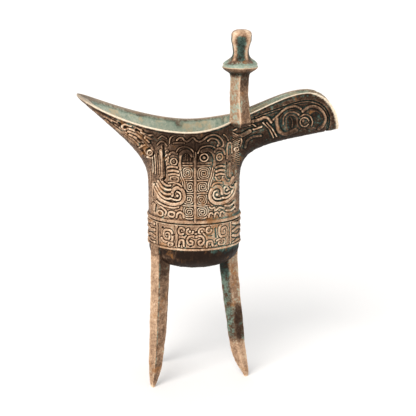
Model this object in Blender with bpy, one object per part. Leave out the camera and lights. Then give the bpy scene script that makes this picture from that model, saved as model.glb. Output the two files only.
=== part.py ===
"""A cast bronze wine goblet of the jue form: an oval cup with a pouring spout and a pointed tail,
two capped posts, a strap handle and three blade legs, cast as one piece.

Metres, +Z up, +X along the spout, the handle on the +Y side. The cup's axis is the working
origin; at the end the goblet is set on the floor with its box centred over the origin.
"""
from math import acos, cos, exp, hypot, pi, radians, sin, sqrt, tau

import bmesh
import bpy
from mathutils import Vector

# Heights, from the floor up
LEG_HEIGHT = 0.0742
BOWL_DEPTH = 0.0141
BAND_HEIGHT = 0.0161
BEAD_ABOVE_BAND = 0.0018
NECK_ABOVE_BEAD = 0.0198
RIM_ABOVE_NECK = 0.0328
TAIL_ABOVE_RIM = 0.0186
SPOUT_ABOVE_RIM = 0.0203
MOUTH_HEIGHT = 0.0222

# Oval cup
CUP_HALF_LENGTH = 0.0272
CUP_HALF_WIDTH = 0.0228
WALL = 0.0023
BOWL_FULLNESS = 2.7
RIM_LOW_X = -0.0040
RIM_FLARE = 0.0005
WALL_LINE_RISE = 0.0110

# Tail, a pointed leaf
TAIL_LENGTH = 0.0680
TAIL_CURVE = 1.75
TAIL_SLOPE = radians(49.5)
TAIL_LINE_RISE = 0.0160
TAIL_LINE_REACH = 0.0380
TAIL_TIP_SOLID = 0.0062
TAIL_EDGE = 0.0013
TAIL_EDGE_SHARE = 0.06
WALL_TURN = 0.6

# Spout, a channel with a rounded mouth
SPOUT_ROOT_ANGLE = radians(36)
SPOUT_END_ANGLE = radians(25)
SPOUT_LENGTH = 0.0846
SPOUT_HALF_WIDTH = 0.0078
SPOUT_SLOPE = radians(11)
SPOUT_LINE_RISE = 0.0200
SPOUT_LINE_REACH = 0.0495
SPOUT_TAPER = 0.10
SPOUT_SHOULDER = 0.0016
MOUTH_RUN = 0.0176
MOUTH_FULLNESS = 2.6
MOUTH_CROWDING = 1.8
ROOT_SWEEP = 1.3
RIM_CURVE_START = 0.0310
RIM_CURVE_END = 0.0200

# Cast decoration
BAND_RELIEF = 0.0006
BEAD_HALF = 0.0013
BEAD_RELIEF = 0.0009
MOTIF_MIDDLE = 0.0016
MOTIF_RELIEF = 0.0012
GROOVE_DEPTH = 0.0008
LINE_HALF = 0.0010
WIDE_LINE_HALF = 0.0013
RELIEF_FADE_ROWS = 0.12
EYE_OFFSET = 0.0135
EYE_BELOW_RIM = 0.0162
EYE_RADIUS = 0.0025
OUTER_EYE_OFFSET = 0.0232
OUTER_EYE_X = 0.0252
MASK_END_X = 0.0232
SPOUT_CARVED_FROM = 0.0345
OUTER_EYE_BELOW_RIM = 0.0123
LEDGE_PITCH = 0.0034
VOLUTE_OFFSET = 0.0108
VOLUTE_ABOVE_BEAD = 0.0164
VOLUTE_RADIUS = 0.0042
ARM_REACH = 0.0124
ARM_SPACING = 0.0034
ARM_SPREAD = 0.0014
HORN_OFFSET = 0.0046
HORN_RADIUS = 0.0044
CREST_BELOW_RIM = 0.0042
SLOT_OFFSET = 0.0190
SLOT_TOP_BELOW_RIM = 0.0092
SLOT_HEIGHT = 0.0190
CURL_OFFSET = 0.0165
CURL_RADIUS = 0.0036
SMALL_CURL_OFFSET = 0.0040
SMALL_CURL_RADIUS = 0.0026
BAR_PITCH = 0.0040
BAR_REACH = 0.0058
SPOUT_FRAME_MARGIN = 0.0042
SPOUT_GROOVE_DEPTH = 0.0011
MOUTH_FRAME_SHARE = 0.7
LOBES = 3
LOBE_RADIUS = 0.0064
LOBE_EDGE = 0.0024
LOBE_RELIEF = 0.0013
LOBE_SPACING = 0.0146
LOBE_FROM_END = 0.0150
LOBE_BELOW_RIM = 0.0140
LEAF_MARGIN = 0.0046
LEAF_PITCH = 0.0040

# Posts and caps
POST_LEAN = radians(2.0)
POST_BELOW_RIM = 0.0012
POST_HEIGHT = 0.0537
POST_HALF = 0.0053
POST_PAST_ROOT = 0.0044
POST_FOOT_SHIFT = 0.0014
POST_FOOT_SHARE = 0.32
FAR_POST_DROP = 0.0022
FAR_POST_SHIFT = 0.0010
COLLAR_HALF = 0.0105
KNOB_HALF = 0.0058
KNOB_WAIST = 0.0045
POST_SIDES = 12

# Legs
LEFT_LEG_ANGLE = radians(147)
LEG_IN_BAND = 0.0023
LEG_INSET = 0.0006
LEG_FLUSH_ALONG = 0.92
LEG_FLUSH_ACROSS = 0.82
LEG_TOP_PULL = 0.94
LEG_HALF_DEPTH = 0.0045
LEG_EDGE = 0.14
RIGHT_LEG_HALF_WIDTH = 0.0063
RIGHT_LEG_SPLAY = (0.0114, 0.0)
LEFT_LEG_HALF_WIDTH = 0.0060
NEAR_LEG_SPLAY = (0.0049, 0.0050)
FAR_LEG_SPLAY = (0.0049, 0.0088)
FOOT_HALF = 0.0013

# Strap handle
HANDLE_X = -0.0040
HANDLE_ABOVE_NECK = 0.0140
HANDLE_HEIGHT = 0.0440
HANDLE_REACH = 0.0140
HANDLE_HALF_WIDTH = 0.0046
HANDLE_THICKNESS = 0.0036
HANDLE_SQUARENESS = 0.62
HANDLE_STEPS = 14

# Mesh density
NEAR_COLUMNS = 20
FAR_COLUMNS = 10
TAIL_COLUMNS = 5
ROOT_COLUMNS = 4
MOUTH_COLUMNS = 6
BOWL_ROWS = 4
INNER_BOWL_ROWS = 2
BAND_ROWS = 6
OUTER_PITCH = 0.0027
INNER_PITCH = 0.0110
TOP_ROW_CUT = 2.9
SPOUT_ROW_CUT = 2.25
SPOUT_CUTS = 2
SPOUT_FLOOR_ANGLE = radians(4)
MERGE = 2e-5
TINY = 1e-4

BAND_BOTTOM_Z = LEG_HEIGHT + BOWL_DEPTH
BAND_TOP_Z = BAND_BOTTOM_Z + BAND_HEIGHT
BEAD_Z = BAND_TOP_Z + BEAD_ABOVE_BAND
NECK_Z = BEAD_Z + NECK_ABOVE_BEAD
RIM_LOW_Z = NECK_Z + RIM_ABOVE_NECK
SPOUT_TOP_Z = RIM_LOW_Z + SPOUT_ABOVE_RIM
SPOUT_END_Z = SPOUT_TOP_Z - MOUTH_HEIGHT
SPOUT_TOP_X = SPOUT_LENGTH - MOUTH_RUN


def clear_scene():
    for item in list(bpy.data.objects):
        bpy.data.objects.remove(item, do_unlink=True)


def make_collection(name):
    collection = bpy.data.collections.new(name)
    bpy.context.scene.collection.children.link(collection)
    return collection


def make_material(name, colour, roughness, metallic):
    material = bpy.data.materials.new(name)
    material.use_nodes = True
    shader = material.node_tree.nodes["Principled BSDF"]
    shader.inputs["Base Color"].default_value = (*colour, 1.0)
    shader.inputs["Roughness"].default_value = roughness
    shader.inputs["Metallic"].default_value = metallic
    return material


def smooth(value):
    value = min(1.0, max(0.0, value))
    return value * value * (3 - 2 * value)


def bezier(points, t):
    a, b, c, d = points
    s = 1 - t
    return a * s**3 + b * 3 * s * s * t + c * 3 * s * t * t + d * t**3


def column_angles():
    """Angles round the cup: mouth, spout root, plain back side, tail, carved front side."""
    angles = []
    for start, end, count in (
        (0.0, SPOUT_END_ANGLE, MOUTH_COLUMNS),
        (SPOUT_END_ANGLE, SPOUT_ROOT_ANGLE, ROOT_COLUMNS),
        (SPOUT_ROOT_ANGLE, pi - SPOUT_ROOT_ANGLE, FAR_COLUMNS),
        (pi - SPOUT_ROOT_ANGLE, pi, TAIL_COLUMNS),
        (pi, pi + SPOUT_ROOT_ANGLE, TAIL_COLUMNS),
        (pi + SPOUT_ROOT_ANGLE, tau - SPOUT_ROOT_ANGLE, NEAR_COLUMNS),
        (tau - SPOUT_ROOT_ANGLE, tau - SPOUT_END_ANGLE, ROOT_COLUMNS),
        (tau - SPOUT_END_ANGLE, tau, MOUTH_COLUMNS),
    ):
        angles.extend(start + (end - start) * i / count for i in range(count))
    return angles


def rim_rise(x):
    """Height of the rim's edge above its lowest point, from the lowest point to the spout's top."""
    near = RIM_LOW_X + RIM_CURVE_START
    far = SPOUT_TOP_X - RIM_CURVE_END
    low, high = 0.0, 1.0
    for _ in range(24):
        middle = (low + high) / 2
        if bezier((RIM_LOW_X, near, far, SPOUT_TOP_X), middle) < x:
            low = middle
        else:
            high = middle
    return bezier((RIM_LOW_Z, RIM_LOW_Z, SPOUT_TOP_Z, SPOUT_TOP_Z), low)


def rim_height(x):
    if x >= RIM_LOW_X:
        return rim_rise(min(x, SPOUT_TOP_X))
    share = (RIM_LOW_X - x) / (TAIL_LENGTH + RIM_LOW_X)
    return RIM_LOW_Z + TAIL_ABOVE_RIM * share**TAIL_CURVE


def root_point(inset):
    """Where the oval rim turns into the spout's wall."""
    x = (CUP_HALF_LENGTH - inset) * cos(SPOUT_ROOT_ANGLE)
    y = (CUP_HALF_WIDTH + RIM_FLARE - inset) * sin(SPOUT_ROOT_ANGLE)
    return x, y


def rim_point(angle, inset):
    """A point of the rim's outer edge, or with an inset of its inner edge, and the wall's
    direction there as (run along X, rise)."""
    side = 1 if angle <= pi else -1
    u = angle if angle <= pi else tau - angle
    if u <= SPOUT_END_ANGLE:
        turn = (pi / 2) * (1 - (1 - u / SPOUT_END_ANGLE) ** MOUTH_CROWDING)
        power = 2 / MOUTH_FULLNESS
        bottom = SPOUT_END_Z + inset
        drop = 1 - max(0.0, cos(turn)) ** power if turn < pi / 2 - 1e-6 else 1.0
        z = bottom + (SPOUT_TOP_Z - bottom) * drop
        y = (SPOUT_HALF_WIDTH - inset) * sin(turn) ** power
        height = (z - SPOUT_END_Z) / MOUTH_HEIGHT
        x = SPOUT_TOP_X + MOUTH_RUN * sqrt(max(0.0, 1 - height**2))
        run = 1.0
    elif u <= SPOUT_ROOT_ANGLE:
        share = (u - SPOUT_END_ANGLE) / (SPOUT_ROOT_ANGLE - SPOUT_END_ANGLE)
        root_x, root_y = root_point(inset)
        x = SPOUT_TOP_X + (root_x - SPOUT_TOP_X) * share
        y = (SPOUT_HALF_WIDTH - inset) + (root_y - SPOUT_HALF_WIDTH + inset) * share**ROOT_SWEEP
        z = rim_height(x)
        run = 1 - share
    elif u <= pi / 2:
        x = (CUP_HALF_LENGTH - inset) * cos(u)
        y = (CUP_HALF_WIDTH + RIM_FLARE - inset) * sin(u)
        z = rim_height(x)
        run = 0.0
    else:
        tip = TAIL_LENGTH - TAIL_TIP_SOLID * inset / WALL
        x = tip * cos(u)
        y = (CUP_HALF_WIDTH + RIM_FLARE - inset) * sin(u)
        z = rim_height(x)
        run = cos(u)
    return Vector((x, side * y, z)), run


def wall_line(angle, inset):
    """The curve that the wall follows above the neck: four control points."""
    neck = Vector(((CUP_HALF_LENGTH - inset) * cos(angle), (CUP_HALF_WIDTH - inset) * sin(angle), NECK_Z))
    top, run = rim_point(angle, inset)
    if run > 0:
        slope = (pi / 2) + (SPOUT_SLOPE - pi / 2) * run**WALL_TURN
        rise = WALL_LINE_RISE + (SPOUT_LINE_RISE + inset - WALL_LINE_RISE) * run
        reach = WALL_LINE_RISE + (SPOUT_LINE_REACH - WALL_LINE_RISE) * run
        spread = SPOUT_TAPER * run * reach * top.y / SPOUT_HALF_WIDTH
        back = Vector((-cos(slope) * reach, spread, -sin(slope) * reach))
    elif run < 0:
        slope = TAIL_SLOPE * (-run) ** WALL_TURN
        rise = WALL_LINE_RISE + (TAIL_LINE_RISE + inset - WALL_LINE_RISE) * -run
        reach = WALL_LINE_RISE + (TAIL_LINE_REACH - WALL_LINE_RISE) * -run
        back = Vector((sin(slope) * reach, 0, -cos(slope) * reach))
    else:
        rise = WALL_LINE_RISE
        back = Vector((0, 0, -WALL_LINE_RISE))
    shoulder = SPOUT_SHOULDER * max(0.0, run) * top.y / SPOUT_HALF_WIDTH
    return neck, neck + Vector((0, shoulder, rise)), top + back, top


def cup_point(angle, row, inset):
    """A point of the plain cup wall. Rows run 0 to 1 over the bowl, 1 to 2 up to the neck and
    2 to 3 from the neck to the rim."""
    if row <= 1:
        turn = (pi / 2) * row
        power = 2 / BOWL_FULLNESS
        out = sin(turn) ** power
        down = (BOWL_DEPTH - inset) * max(0.0, cos(turn)) ** power
        z = BAND_BOTTOM_Z - down
    elif row <= 2:
        out = 1.0
        z = BAND_BOTTOM_Z + (NECK_Z - BAND_BOTTOM_Z) * (row - 1)
    else:
        line = wall_line(angle, inset)
        edge = Vector((0, 0, -TAIL_EDGE * max(0.0, -cos(angle)))) if inset == 0 else Vector((0, 0, 0))
        along = (row - 2) / (1 - TAIL_EDGE_SHARE)
        if along <= 1:
            return bezier((line[0], line[1] + edge, line[2] + edge, line[3] + edge), along)
        return line[3] + edge * (3 - row) / TAIL_EDGE_SHARE
    x = (CUP_HALF_LENGTH - inset) * out * cos(angle)
    y = (CUP_HALF_WIDTH - inset) * out * sin(angle)
    return Vector((x, y, z))


def bump(distance, radius):
    return exp(-((distance / radius) ** 2))


def stroke(x, z, start, end):
    """Distance from a place to a straight stroke on the wall."""
    dx, dz = end[0] - start[0], end[1] - start[1]
    share = min(1.0, max(0.0, ((x - start[0]) * dx + (z - start[1]) * dz) / (dx * dx + dz * dz)))
    return hypot(x - start[0] - share * dx, z - start[1] - share * dz)


def carve_band(across, ends, z):
    """A raised band with curls, and bars at the cup's two ends."""
    height = BAND_RELIEF
    middle = (BAND_BOTTOM_Z + BAND_TOP_Z) / 2
    curl = abs(hypot(abs(across) - CURL_OFFSET, z - middle) - CURL_RADIUS)
    height += BAND_RELIEF * bump(curl, LINE_HALF)
    small = abs(hypot(abs(across) - SMALL_CURL_OFFSET, z - middle + SMALL_CURL_RADIUS / 2) - SMALL_CURL_RADIUS)
    height += BAND_RELIEF * bump(small, LINE_HALF)
    bars = cos(tau * (z - BAND_BOTTOM_Z) / BAR_PITCH)
    return height + BAND_RELIEF / 2 * bars * smooth(2 - ends / BAR_REACH)


def carve_mask(across, z):
    """Half of the mask: eye with its ledges, curled jaw with two arms, horn, crest and slot."""
    side = abs(across)
    eye_z = RIM_LOW_Z - EYE_BELOW_RIM
    ridges = [bump(hypot(side - EYE_OFFSET, z - eye_z), EYE_RADIUS)]
    for i in (1, 2):
        ledge_z = eye_z - EYE_RADIUS / 2 - LEDGE_PITCH * i
        ledge = stroke(side, z, (EYE_OFFSET - EYE_RADIUS, ledge_z), (EYE_OFFSET + EYE_RADIUS, ledge_z))
        ridges.append(bump(ledge, LINE_HALF))
    off = side - VOLUTE_OFFSET
    up = z - BEAD_Z - VOLUTE_ABOVE_BEAD
    ridges.append(bump(hypot(off, up) - VOLUTE_RADIUS, WIDE_LINE_HALF))
    ridges.append(bump(hypot(off, up), WIDE_LINE_HALF))
    for i in (0, 1):
        low = -VOLUTE_RADIUS + ARM_SPACING * i
        arm = stroke(off, up, (i * VOLUTE_RADIUS, low), (ARM_REACH, low + ARM_SPREAD * i))
        ridges.append(bump(arm, LINE_HALF))
    if z > eye_z - EYE_RADIUS:
        horn = hypot(side - HORN_OFFSET, z - eye_z - EYE_RADIUS) - HORN_RADIUS
        ridges.append(bump(horn, WIDE_LINE_HALF))
    if side < SLOT_OFFSET:
        crest_z = RIM_LOW_Z - CREST_BELOW_RIM + LINE_HALF * cos(tau * side / (HORN_RADIUS * 2))
        ridges.append(bump(z - crest_z, LINE_HALF))
    if z < eye_z + HORN_RADIUS:
        ridges.append(bump(side, WIDE_LINE_HALF) / 2)
    outer_eye = hypot(side - OUTER_EYE_OFFSET, z - RIM_LOW_Z + OUTER_EYE_BELOW_RIM)
    ridges.append(bump(outer_eye, EYE_RADIUS))
    top = RIM_LOW_Z - SLOT_TOP_BELOW_RIM
    slot = stroke(side, z, (SLOT_OFFSET, top), (SLOT_OFFSET, top - SLOT_HEIGHT))
    return MOTIF_RELIEF * max(ridges) - GROOVE_DEPTH * bump(slot, WIDE_LINE_HALF)


def carve_spout(x, below):
    """A frame groove under the lip and raised round lobes inside it."""
    edge = min(below, (SPOUT_LENGTH - x) * MOUTH_FRAME_SHARE)
    inside = smooth(edge / SPOUT_FRAME_MARGIN - 1)
    height = -SPOUT_GROOVE_DEPTH * bump(edge - SPOUT_FRAME_MARGIN, WIDE_LINE_HALF)
    for i in range(LOBES):
        middle_x = SPOUT_LENGTH - LOBE_FROM_END - LOBE_SPACING * i
        away = hypot(x - middle_x, below - LOBE_BELOW_RIM)
        height += LOBE_RELIEF * smooth((LOBE_RADIUS - away) / LOBE_EDGE) * inside
    return height


def carve_tail(x, below):
    """Two leaf lines that run out along the tail under the rim."""
    height = 0.0
    for i in (0, 1):
        height += MOTIF_RELIEF / 2 * bump(below - LEAF_MARGIN - LEAF_PITCH * i, WIDE_LINE_HALF)
    return height * smooth((-x - OUTER_EYE_X) / LEAF_PITCH)


def carving(point, angle, row):
    """Height of the cast decoration over the plain wall. The back keeps the band and bead only."""
    if row < 1:
        return 0.0
    front = angle > pi
    height = 0.0
    if row <= 2:
        height = BEAD_RELIEF * bump(point.z - BEAD_Z, BEAD_HALF)
        if BAND_BOTTOM_Z < point.z < BAND_TOP_Z:
            height = BAND_RELIEF
            if front:
                around = sqrt(CUP_HALF_LENGTH * CUP_HALF_WIDTH) * (pi / 2 - acos(cos(angle)))
                ends = min(abs(sin(angle)) * CUP_HALF_WIDTH, abs(cos(angle)) * CUP_HALF_LENGTH)
                height = carve_band(around - MOTIF_MIDDLE, ends, point.z)
    if not front:
        return height
    below = rim_height(point.x) - point.z
    if point.z > BEAD_Z + BEAD_HALF * 2:
        share = min(1.0, max(-1.0, point.x / CUP_HALF_LENGTH))
        across = CUP_HALF_LENGTH * (pi / 2 - acos(share)) - MOTIF_MIDDLE
        end = MASK_END_X if point.x > 0 else OUTER_EYE_X + EYE_RADIUS
        height += carve_mask(across, point.z) * smooth((end - abs(point.x)) / EYE_RADIUS)
    if row > 2 and point.x > SPOUT_CARVED_FROM and abs(point.y) > SPOUT_HALF_WIDTH / 2:
        height += carve_spout(point.x, below) * smooth((point.x - SPOUT_CARVED_FROM) / LOBE_RADIUS)
    if row > 2 and point.x < 0:
        height += carve_tail(point.x, below)
    return height * smooth((3 - row) / RELIEF_FADE_ROWS)


def carved_point(angle, row):
    """A point of the outer wall, moved out along the wall's normal by the decoration."""
    point = cup_point(angle, row, 0.0)
    ahead = cup_point((angle + 1e-3) % tau, row, 0.0) - point
    nudge = 1e-3 if row < 2.99 else -1e-3
    up = (cup_point(angle, row + nudge, 0.0) - point) / nudge
    normal = ahead.cross(up)
    if normal.length < 1e-12:
        return point
    return point + normal.normalized() * carving(point, angle, row)


def row_values(bowl_rows, band_rows, pitch):
    """Rows of the cup wall: the bowl, the band and bead, the wall to the neck, then to the rim."""
    rows = [(i + 1) / (bowl_rows + 1) for i in range(bowl_rows)]
    rows.append(1.0)
    span = NECK_Z - BAND_BOTTOM_Z
    if band_rows:
        marks = [TINY + (BAND_HEIGHT - 2 * TINY) * i / (band_rows - 1) for i in range(band_rows)]
        marks.append(BAND_HEIGHT + TINY)
        bead = BEAD_Z - BAND_BOTTOM_Z
        marks.extend((bead, bead + BEAD_HALF, bead + 2 * BEAD_HALF))
        rows.extend(1 + mark / span for mark in marks)
    start = rows[-1]
    lower = round((2 - start) * span / pitch)
    rows.extend(start + (2 - start) * (i + 1) / lower for i in range(lower))
    upper = round(RIM_ABOVE_NECK / pitch)
    rows.extend(2 + (1 - TAIL_EDGE_SHARE) * (i + 1) / upper for i in range(upper))
    rows.append(3.0)
    return rows


def add_shell(mesh, marks, inset, rows):
    """One closed-bottomed shell of the cup; every corner keeps its angle and row."""
    angle_mark, row_mark = marks
    pole = mesh.verts.new((0, 0, LEG_HEIGHT + inset))
    rings = []
    for row in rows:
        ring = []
        for angle in column_angles():
            corner = mesh.verts.new(cup_point(angle, row, inset))
            corner[angle_mark] = angle
            corner[row_mark] = row
            ring.append(corner)
        rings.append(ring)
    fill_pole(mesh, pole, rings[0])
    for lower, upper in zip(rings, rings[1:]):
        fill_between(mesh, lower, upper)
    return rings[-1]


def cut_finer(mesh, marks, angles, rows, cuts, level_only):
    """Cut the edges of one patch of the wall, all of them or only the level ones."""
    angle_mark, row_mark = marks
    chosen = []
    for edge in mesh.edges:
        first, second = edge.verts
        inside = all(
            angles[0] - TINY < corner[angle_mark] < angles[1] + TINY and rows[0] < corner[row_mark] < rows[1]
            for corner in edge.verts
        )
        level = abs(first[row_mark] - second[row_mark]) < TINY
        if inside and (level or not level_only):
            chosen.append(edge)
    bmesh.ops.subdivide_edges(mesh, edges=chosen, cuts=cuts, use_grid_fill=True)


def fill_between(mesh, lower, upper):
    count = len(lower)
    for i in range(count):
        j = (i + 1) % count
        mesh.faces.new((lower[i], lower[j], upper[j], upper[i]))


def fill_pole(mesh, pole, ring):
    count = len(ring)
    for i in range(count):
        mesh.faces.new((pole, ring[(i + 1) % count], ring[i]))


def close_mesh(name, mesh, collection):
    bmesh.ops.recalc_face_normals(mesh, faces=mesh.faces)
    data = bpy.data.meshes.new(name)
    mesh.to_mesh(data)
    mesh.free()
    item = bpy.data.objects.new(name, data)
    collection.objects.link(item)
    return item


def build_cup(name, collection):
    """Hollow cup: carved outer wall, plain inner wall and a flat rim between them."""
    mesh = bmesh.new()
    marks = (mesh.verts.layers.float.new("angle"), mesh.verts.layers.float.new("row"))
    add_shell(mesh, marks, 0.0, row_values(BOWL_ROWS, BAND_ROWS, OUTER_PITCH))
    spout_side = (tau - SPOUT_END_ANGLE, tau - SPOUT_FLOOR_ANGLE)
    cut_finer(mesh, marks, spout_side, (SPOUT_ROW_CUT, TOP_ROW_CUT), SPOUT_CUTS, False)
    front = (pi + SPOUT_ROOT_ANGLE, tau - SPOUT_ROOT_ANGLE)
    cut_finer(mesh, marks, front, (1.0, TOP_ROW_CUT), 1, False)
    for corner in mesh.verts:
        if corner[marks[1]] > 0:
            corner.co = carved_point(corner[marks[0]], corner[marks[1]])
    bmesh.ops.triangulate(mesh, faces=mesh.faces)
    outer_rim = [corner for corner in mesh.verts if corner[marks[1]] > 3 - TINY]
    outer_rim.sort(key=lambda corner: corner[marks[0]])
    inner_rim = add_shell(mesh, marks, WALL, row_values(INNER_BOWL_ROWS, 0, INNER_PITCH))
    fill_between(mesh, outer_rim, inner_rim)
    return close_mesh(name, mesh, collection)


def build_middle(name, collection):
    """The cup's form at half its wall, closed over the top: what joins the cup stops there."""
    mesh = bmesh.new()
    marks = (mesh.verts.layers.float.new("angle"), mesh.verts.layers.float.new("row"))
    ring = add_shell(mesh, marks, WALL / 2, row_values(BOWL_ROWS, 0, INNER_PITCH))
    lid = mesh.verts.new((0, 0, SPOUT_TOP_Z + WALL))
    count = len(ring)
    for i in range(count):
        mesh.faces.new((lid, ring[i], ring[(i + 1) % count]))
    return close_mesh(name, mesh, collection)


def loft(name, sections, collection):
    """A closed solid through rings of points, capped flat at both ends."""
    mesh = bmesh.new()
    rings = [[mesh.verts.new(p) for p in section] for section in sections]
    for lower, upper in zip(rings, rings[1:]):
        fill_between(mesh, lower, upper)
    mesh.faces.new(reversed(rings[0]))
    mesh.faces.new(rings[-1])
    return close_mesh(name, mesh, collection)


def rhombus(centre, half_x, half_y, softness):
    """Rhombic section with its four edges blunted."""
    points = []
    for i in range(4):
        turn = pi / 2 * i
        tip = Vector((cos(turn) * half_x, sin(turn) * half_y, 0))
        side = Vector((-sin(turn) * half_x, cos(turn) * half_y, 0))
        points.append(centre + tip * (1 - softness) - side * softness)
        points.append(centre + tip * (1 - softness) + side * softness)
    return points


def build_leg(name, angle, half_width, splay, collection):
    """A blade leg of rhombic section, curved to a point at its outer side."""
    out_x = 1 if cos(angle) > 0 else -1
    out_y = 0 if splay[1] == 0 else (1 if sin(angle) > 0 else -1)
    flush = half_width * (LEG_FLUSH_ALONG * abs(cos(angle)) - LEG_FLUSH_ACROSS * abs(sin(angle)))
    top_x = (CUP_HALF_LENGTH - LEG_INSET) * cos(angle) - out_x * flush
    top_y = (CUP_HALF_WIDTH - LEG_INSET) * sin(angle) * LEG_TOP_PULL
    sections = []
    for height, half, drift in (
        (1 + (BOWL_DEPTH + LEG_IN_BAND) / LEG_HEIGHT, 1.00, 0.00),
        (0.94, 1.00, 0.04),
        (0.76, 0.95, 0.16),
        (0.55, 0.91, 0.32),
        (0.35, 0.87, 0.46),
        (0.23, 0.81, 0.58),
        (0.135, 0.68, 0.74),
        (0.067, 0.50, 0.88),
        (0.024, 0.33, 0.98),
        (0.0, FOOT_HALF / half_width, 1.00),
    ):
        centre = Vector((top_x + out_x * splay[0] * drift, top_y + out_y * splay[1] * drift, LEG_HEIGHT * height))
        depth = max(LEG_HALF_DEPTH * half, FOOT_HALF)
        sections.append(rhombus(centre, half_width * half, depth, LEG_EDGE))
    return loft(name, reversed(sections), collection)


def soft_square(centre, half, squareness, count):
    """Section between a circle and a square turned on its corner."""
    points = []
    for i in range(count):
        turn = tau * i / count
        reach = half * (abs(cos(turn)) ** squareness + abs(sin(turn)) ** squareness) ** (-1 / squareness)
        points.append(centre + Vector((reach * cos(turn), reach * sin(turn), 0)))
    return points


def build_post(name, side, collection):
    """A square post on the rim with a spreading collar and a waisted knob."""
    root_x, root_y = root_point(WALL / 2)
    base_z = rim_height(root_x) - POST_BELOW_RIM
    tall = POST_HEIGHT - (FAR_POST_DROP if side > 0 else 0.0)
    sections = []
    for share, half, squareness in (
        (-0.026, POST_HALF * 0.80, 1.15),
        (-0.010, POST_HALF * 1.06, 1.15),
        (0.015, POST_HALF * 1.18, 1.15),
        (0.070, POST_HALF * 1.13, 1.15),
        (0.150, POST_HALF * 1.04, 1.15),
        (0.260, POST_HALF * 0.98, 1.15),
        (0.500, POST_HALF, 1.15),
        (0.545, POST_HALF * 1.08, 1.3),
        (0.580, COLLAR_HALF * 0.86, 1.7),
        (0.612, COLLAR_HALF, 1.8),
        (0.645, COLLAR_HALF * 0.84, 1.8),
        (0.678, KNOB_WAIST * 1.36, 1.8),
        (0.705, KNOB_WAIST * 1.12, 1.8),
        (0.762, KNOB_WAIST, 1.8),
        (0.830, KNOB_WAIST * 1.08, 2.2),
        (0.885, KNOB_HALF, 2.4),
        (0.960, KNOB_HALF * 0.99, 2.4),
        (0.990, KNOB_HALF * 0.78, 2.4),
        (1.000, KNOB_HALF * 0.45, 2.4),
    ):
        rise = tall * share
        foot = POST_FOOT_SHIFT * smooth(1 - share / POST_FOOT_SHARE)
        x = root_x + POST_PAST_ROOT + (FAR_POST_SHIFT if side > 0 else 0.0) + foot + rise * sin(POST_LEAN)
        centre = Vector((x, side * root_y, base_z + rise))
        sections.append(soft_square(centre, half, squareness, POST_SIDES))
    return loft(name, sections, collection)


def build_handle(name, collection):
    """A flat strap that leaves the wall, turns down and comes back to it."""
    middle = NECK_Z + HANDLE_ABOVE_NECK - HANDLE_HEIGHT / 2
    tall = (HANDLE_HEIGHT - HANDLE_THICKNESS) / 2
    start = CUP_HALF_WIDTH - WALL
    reach = HANDLE_REACH + WALL - HANDLE_THICKNESS / 2
    steps = HANDLE_STEPS
    path = []
    for i in range(steps + 1):
        turn = pi / 2 - pi * i / steps
        out = max(0.0, cos(turn)) ** HANDLE_SQUARENESS
        up = abs(sin(turn)) ** HANDLE_SQUARENESS * (1 if sin(turn) >= 0 else -1)
        path.append(Vector((HANDLE_X, start + reach * out, middle + tall * up)))
    sections = []
    for i, point in enumerate(path):
        before = path[max(0, i - 1)]
        after = path[min(steps, i + 1)]
        run = (after - before).normalized()
        normal = Vector((0, -run.z, run.y)) * (HANDLE_THICKNESS / 2)
        across = Vector((HANDLE_HALF_WIDTH, 0, 0))
        blunt = across * 0.8
        sections.append((
            point + across - normal * 0.4,
            point + blunt - normal,
            point - blunt - normal,
            point - across - normal * 0.4,
            point - across + normal * 0.4,
            point - blunt + normal,
            point + blunt + normal,
            point + across + normal * 0.4,
        ))
    return loft(name, sections, collection)


def apply_boolean(target, tool, operation):
    cut = target.modifiers.new("join", "BOOLEAN")
    cut.operation = operation
    cut.solver = "EXACT"
    cut.object = tool
    bpy.context.view_layer.update()
    evaluated = target.evaluated_get(bpy.context.evaluated_depsgraph_get())
    data = bpy.data.meshes.new_from_object(evaluated)
    target.modifiers.clear()
    target.data = data


def tidy_faces(item):
    """Merge points closer than a hair and split every face into triangles."""
    mesh = bmesh.new()
    mesh.from_mesh(item.data)
    bmesh.ops.remove_doubles(mesh, verts=mesh.verts, dist=MERGE)
    bmesh.ops.dissolve_degenerate(mesh, edges=mesh.edges, dist=MERGE)
    bmesh.ops.triangulate(mesh, faces=mesh.faces)
    mesh.to_mesh(item.data)
    mesh.free()


def stand_on_origin(item):
    """Put the floor at z = 0 and the middle of the box over the origin."""
    points = [vertex.co for vertex in item.data.vertices]
    low = Vector(min(p[i] for p in points) for i in range(3))
    high = Vector(max(p[i] for p in points) for i in range(3))
    shift = Vector((-(low.x + high.x) / 2, -(low.y + high.y) / 2, -low.z))
    for vertex in item.data.vertices:
        vertex.co += shift


def main():
    clear_scene()
    parts = make_collection("Bronze goblet")
    cutters = make_collection("Cutters")
    bronze = make_material("Aged bronze", (0.23, 0.17, 0.11), 0.62, 0.35)

    vessel = build_cup("vessel", parts)
    middle = build_middle("middle_of_wall", cutters)
    additions = [build_leg("right_leg", 0.0, RIGHT_LEG_HALF_WIDTH, RIGHT_LEG_SPLAY, cutters)]
    for angle, splay in ((LEFT_LEG_ANGLE, FAR_LEG_SPLAY), (-LEFT_LEG_ANGLE, NEAR_LEG_SPLAY)):
        additions.append(build_leg("left_leg", angle, LEFT_LEG_HALF_WIDTH, splay, cutters))
    additions.append(build_handle("handle_strap", cutters))
    for addition in additions:
        apply_boolean(addition, middle, "DIFFERENCE")
    additions.extend(build_post(f"post_{side}", side, cutters) for side in (-1, 1))
    for addition in additions:
        apply_boolean(vessel, addition, "UNION")
    for helper in additions + [middle]:
        bpy.data.objects.remove(helper, do_unlink=True)

    tidy_faces(vessel)
    stand_on_origin(vessel)
    vessel.data.materials.clear()
    vessel.data.materials.append(bronze)
    vessel.data.shade_smooth()
    vessel.data.set_sharp_from_angle(angle=radians(40))


main()
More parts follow.
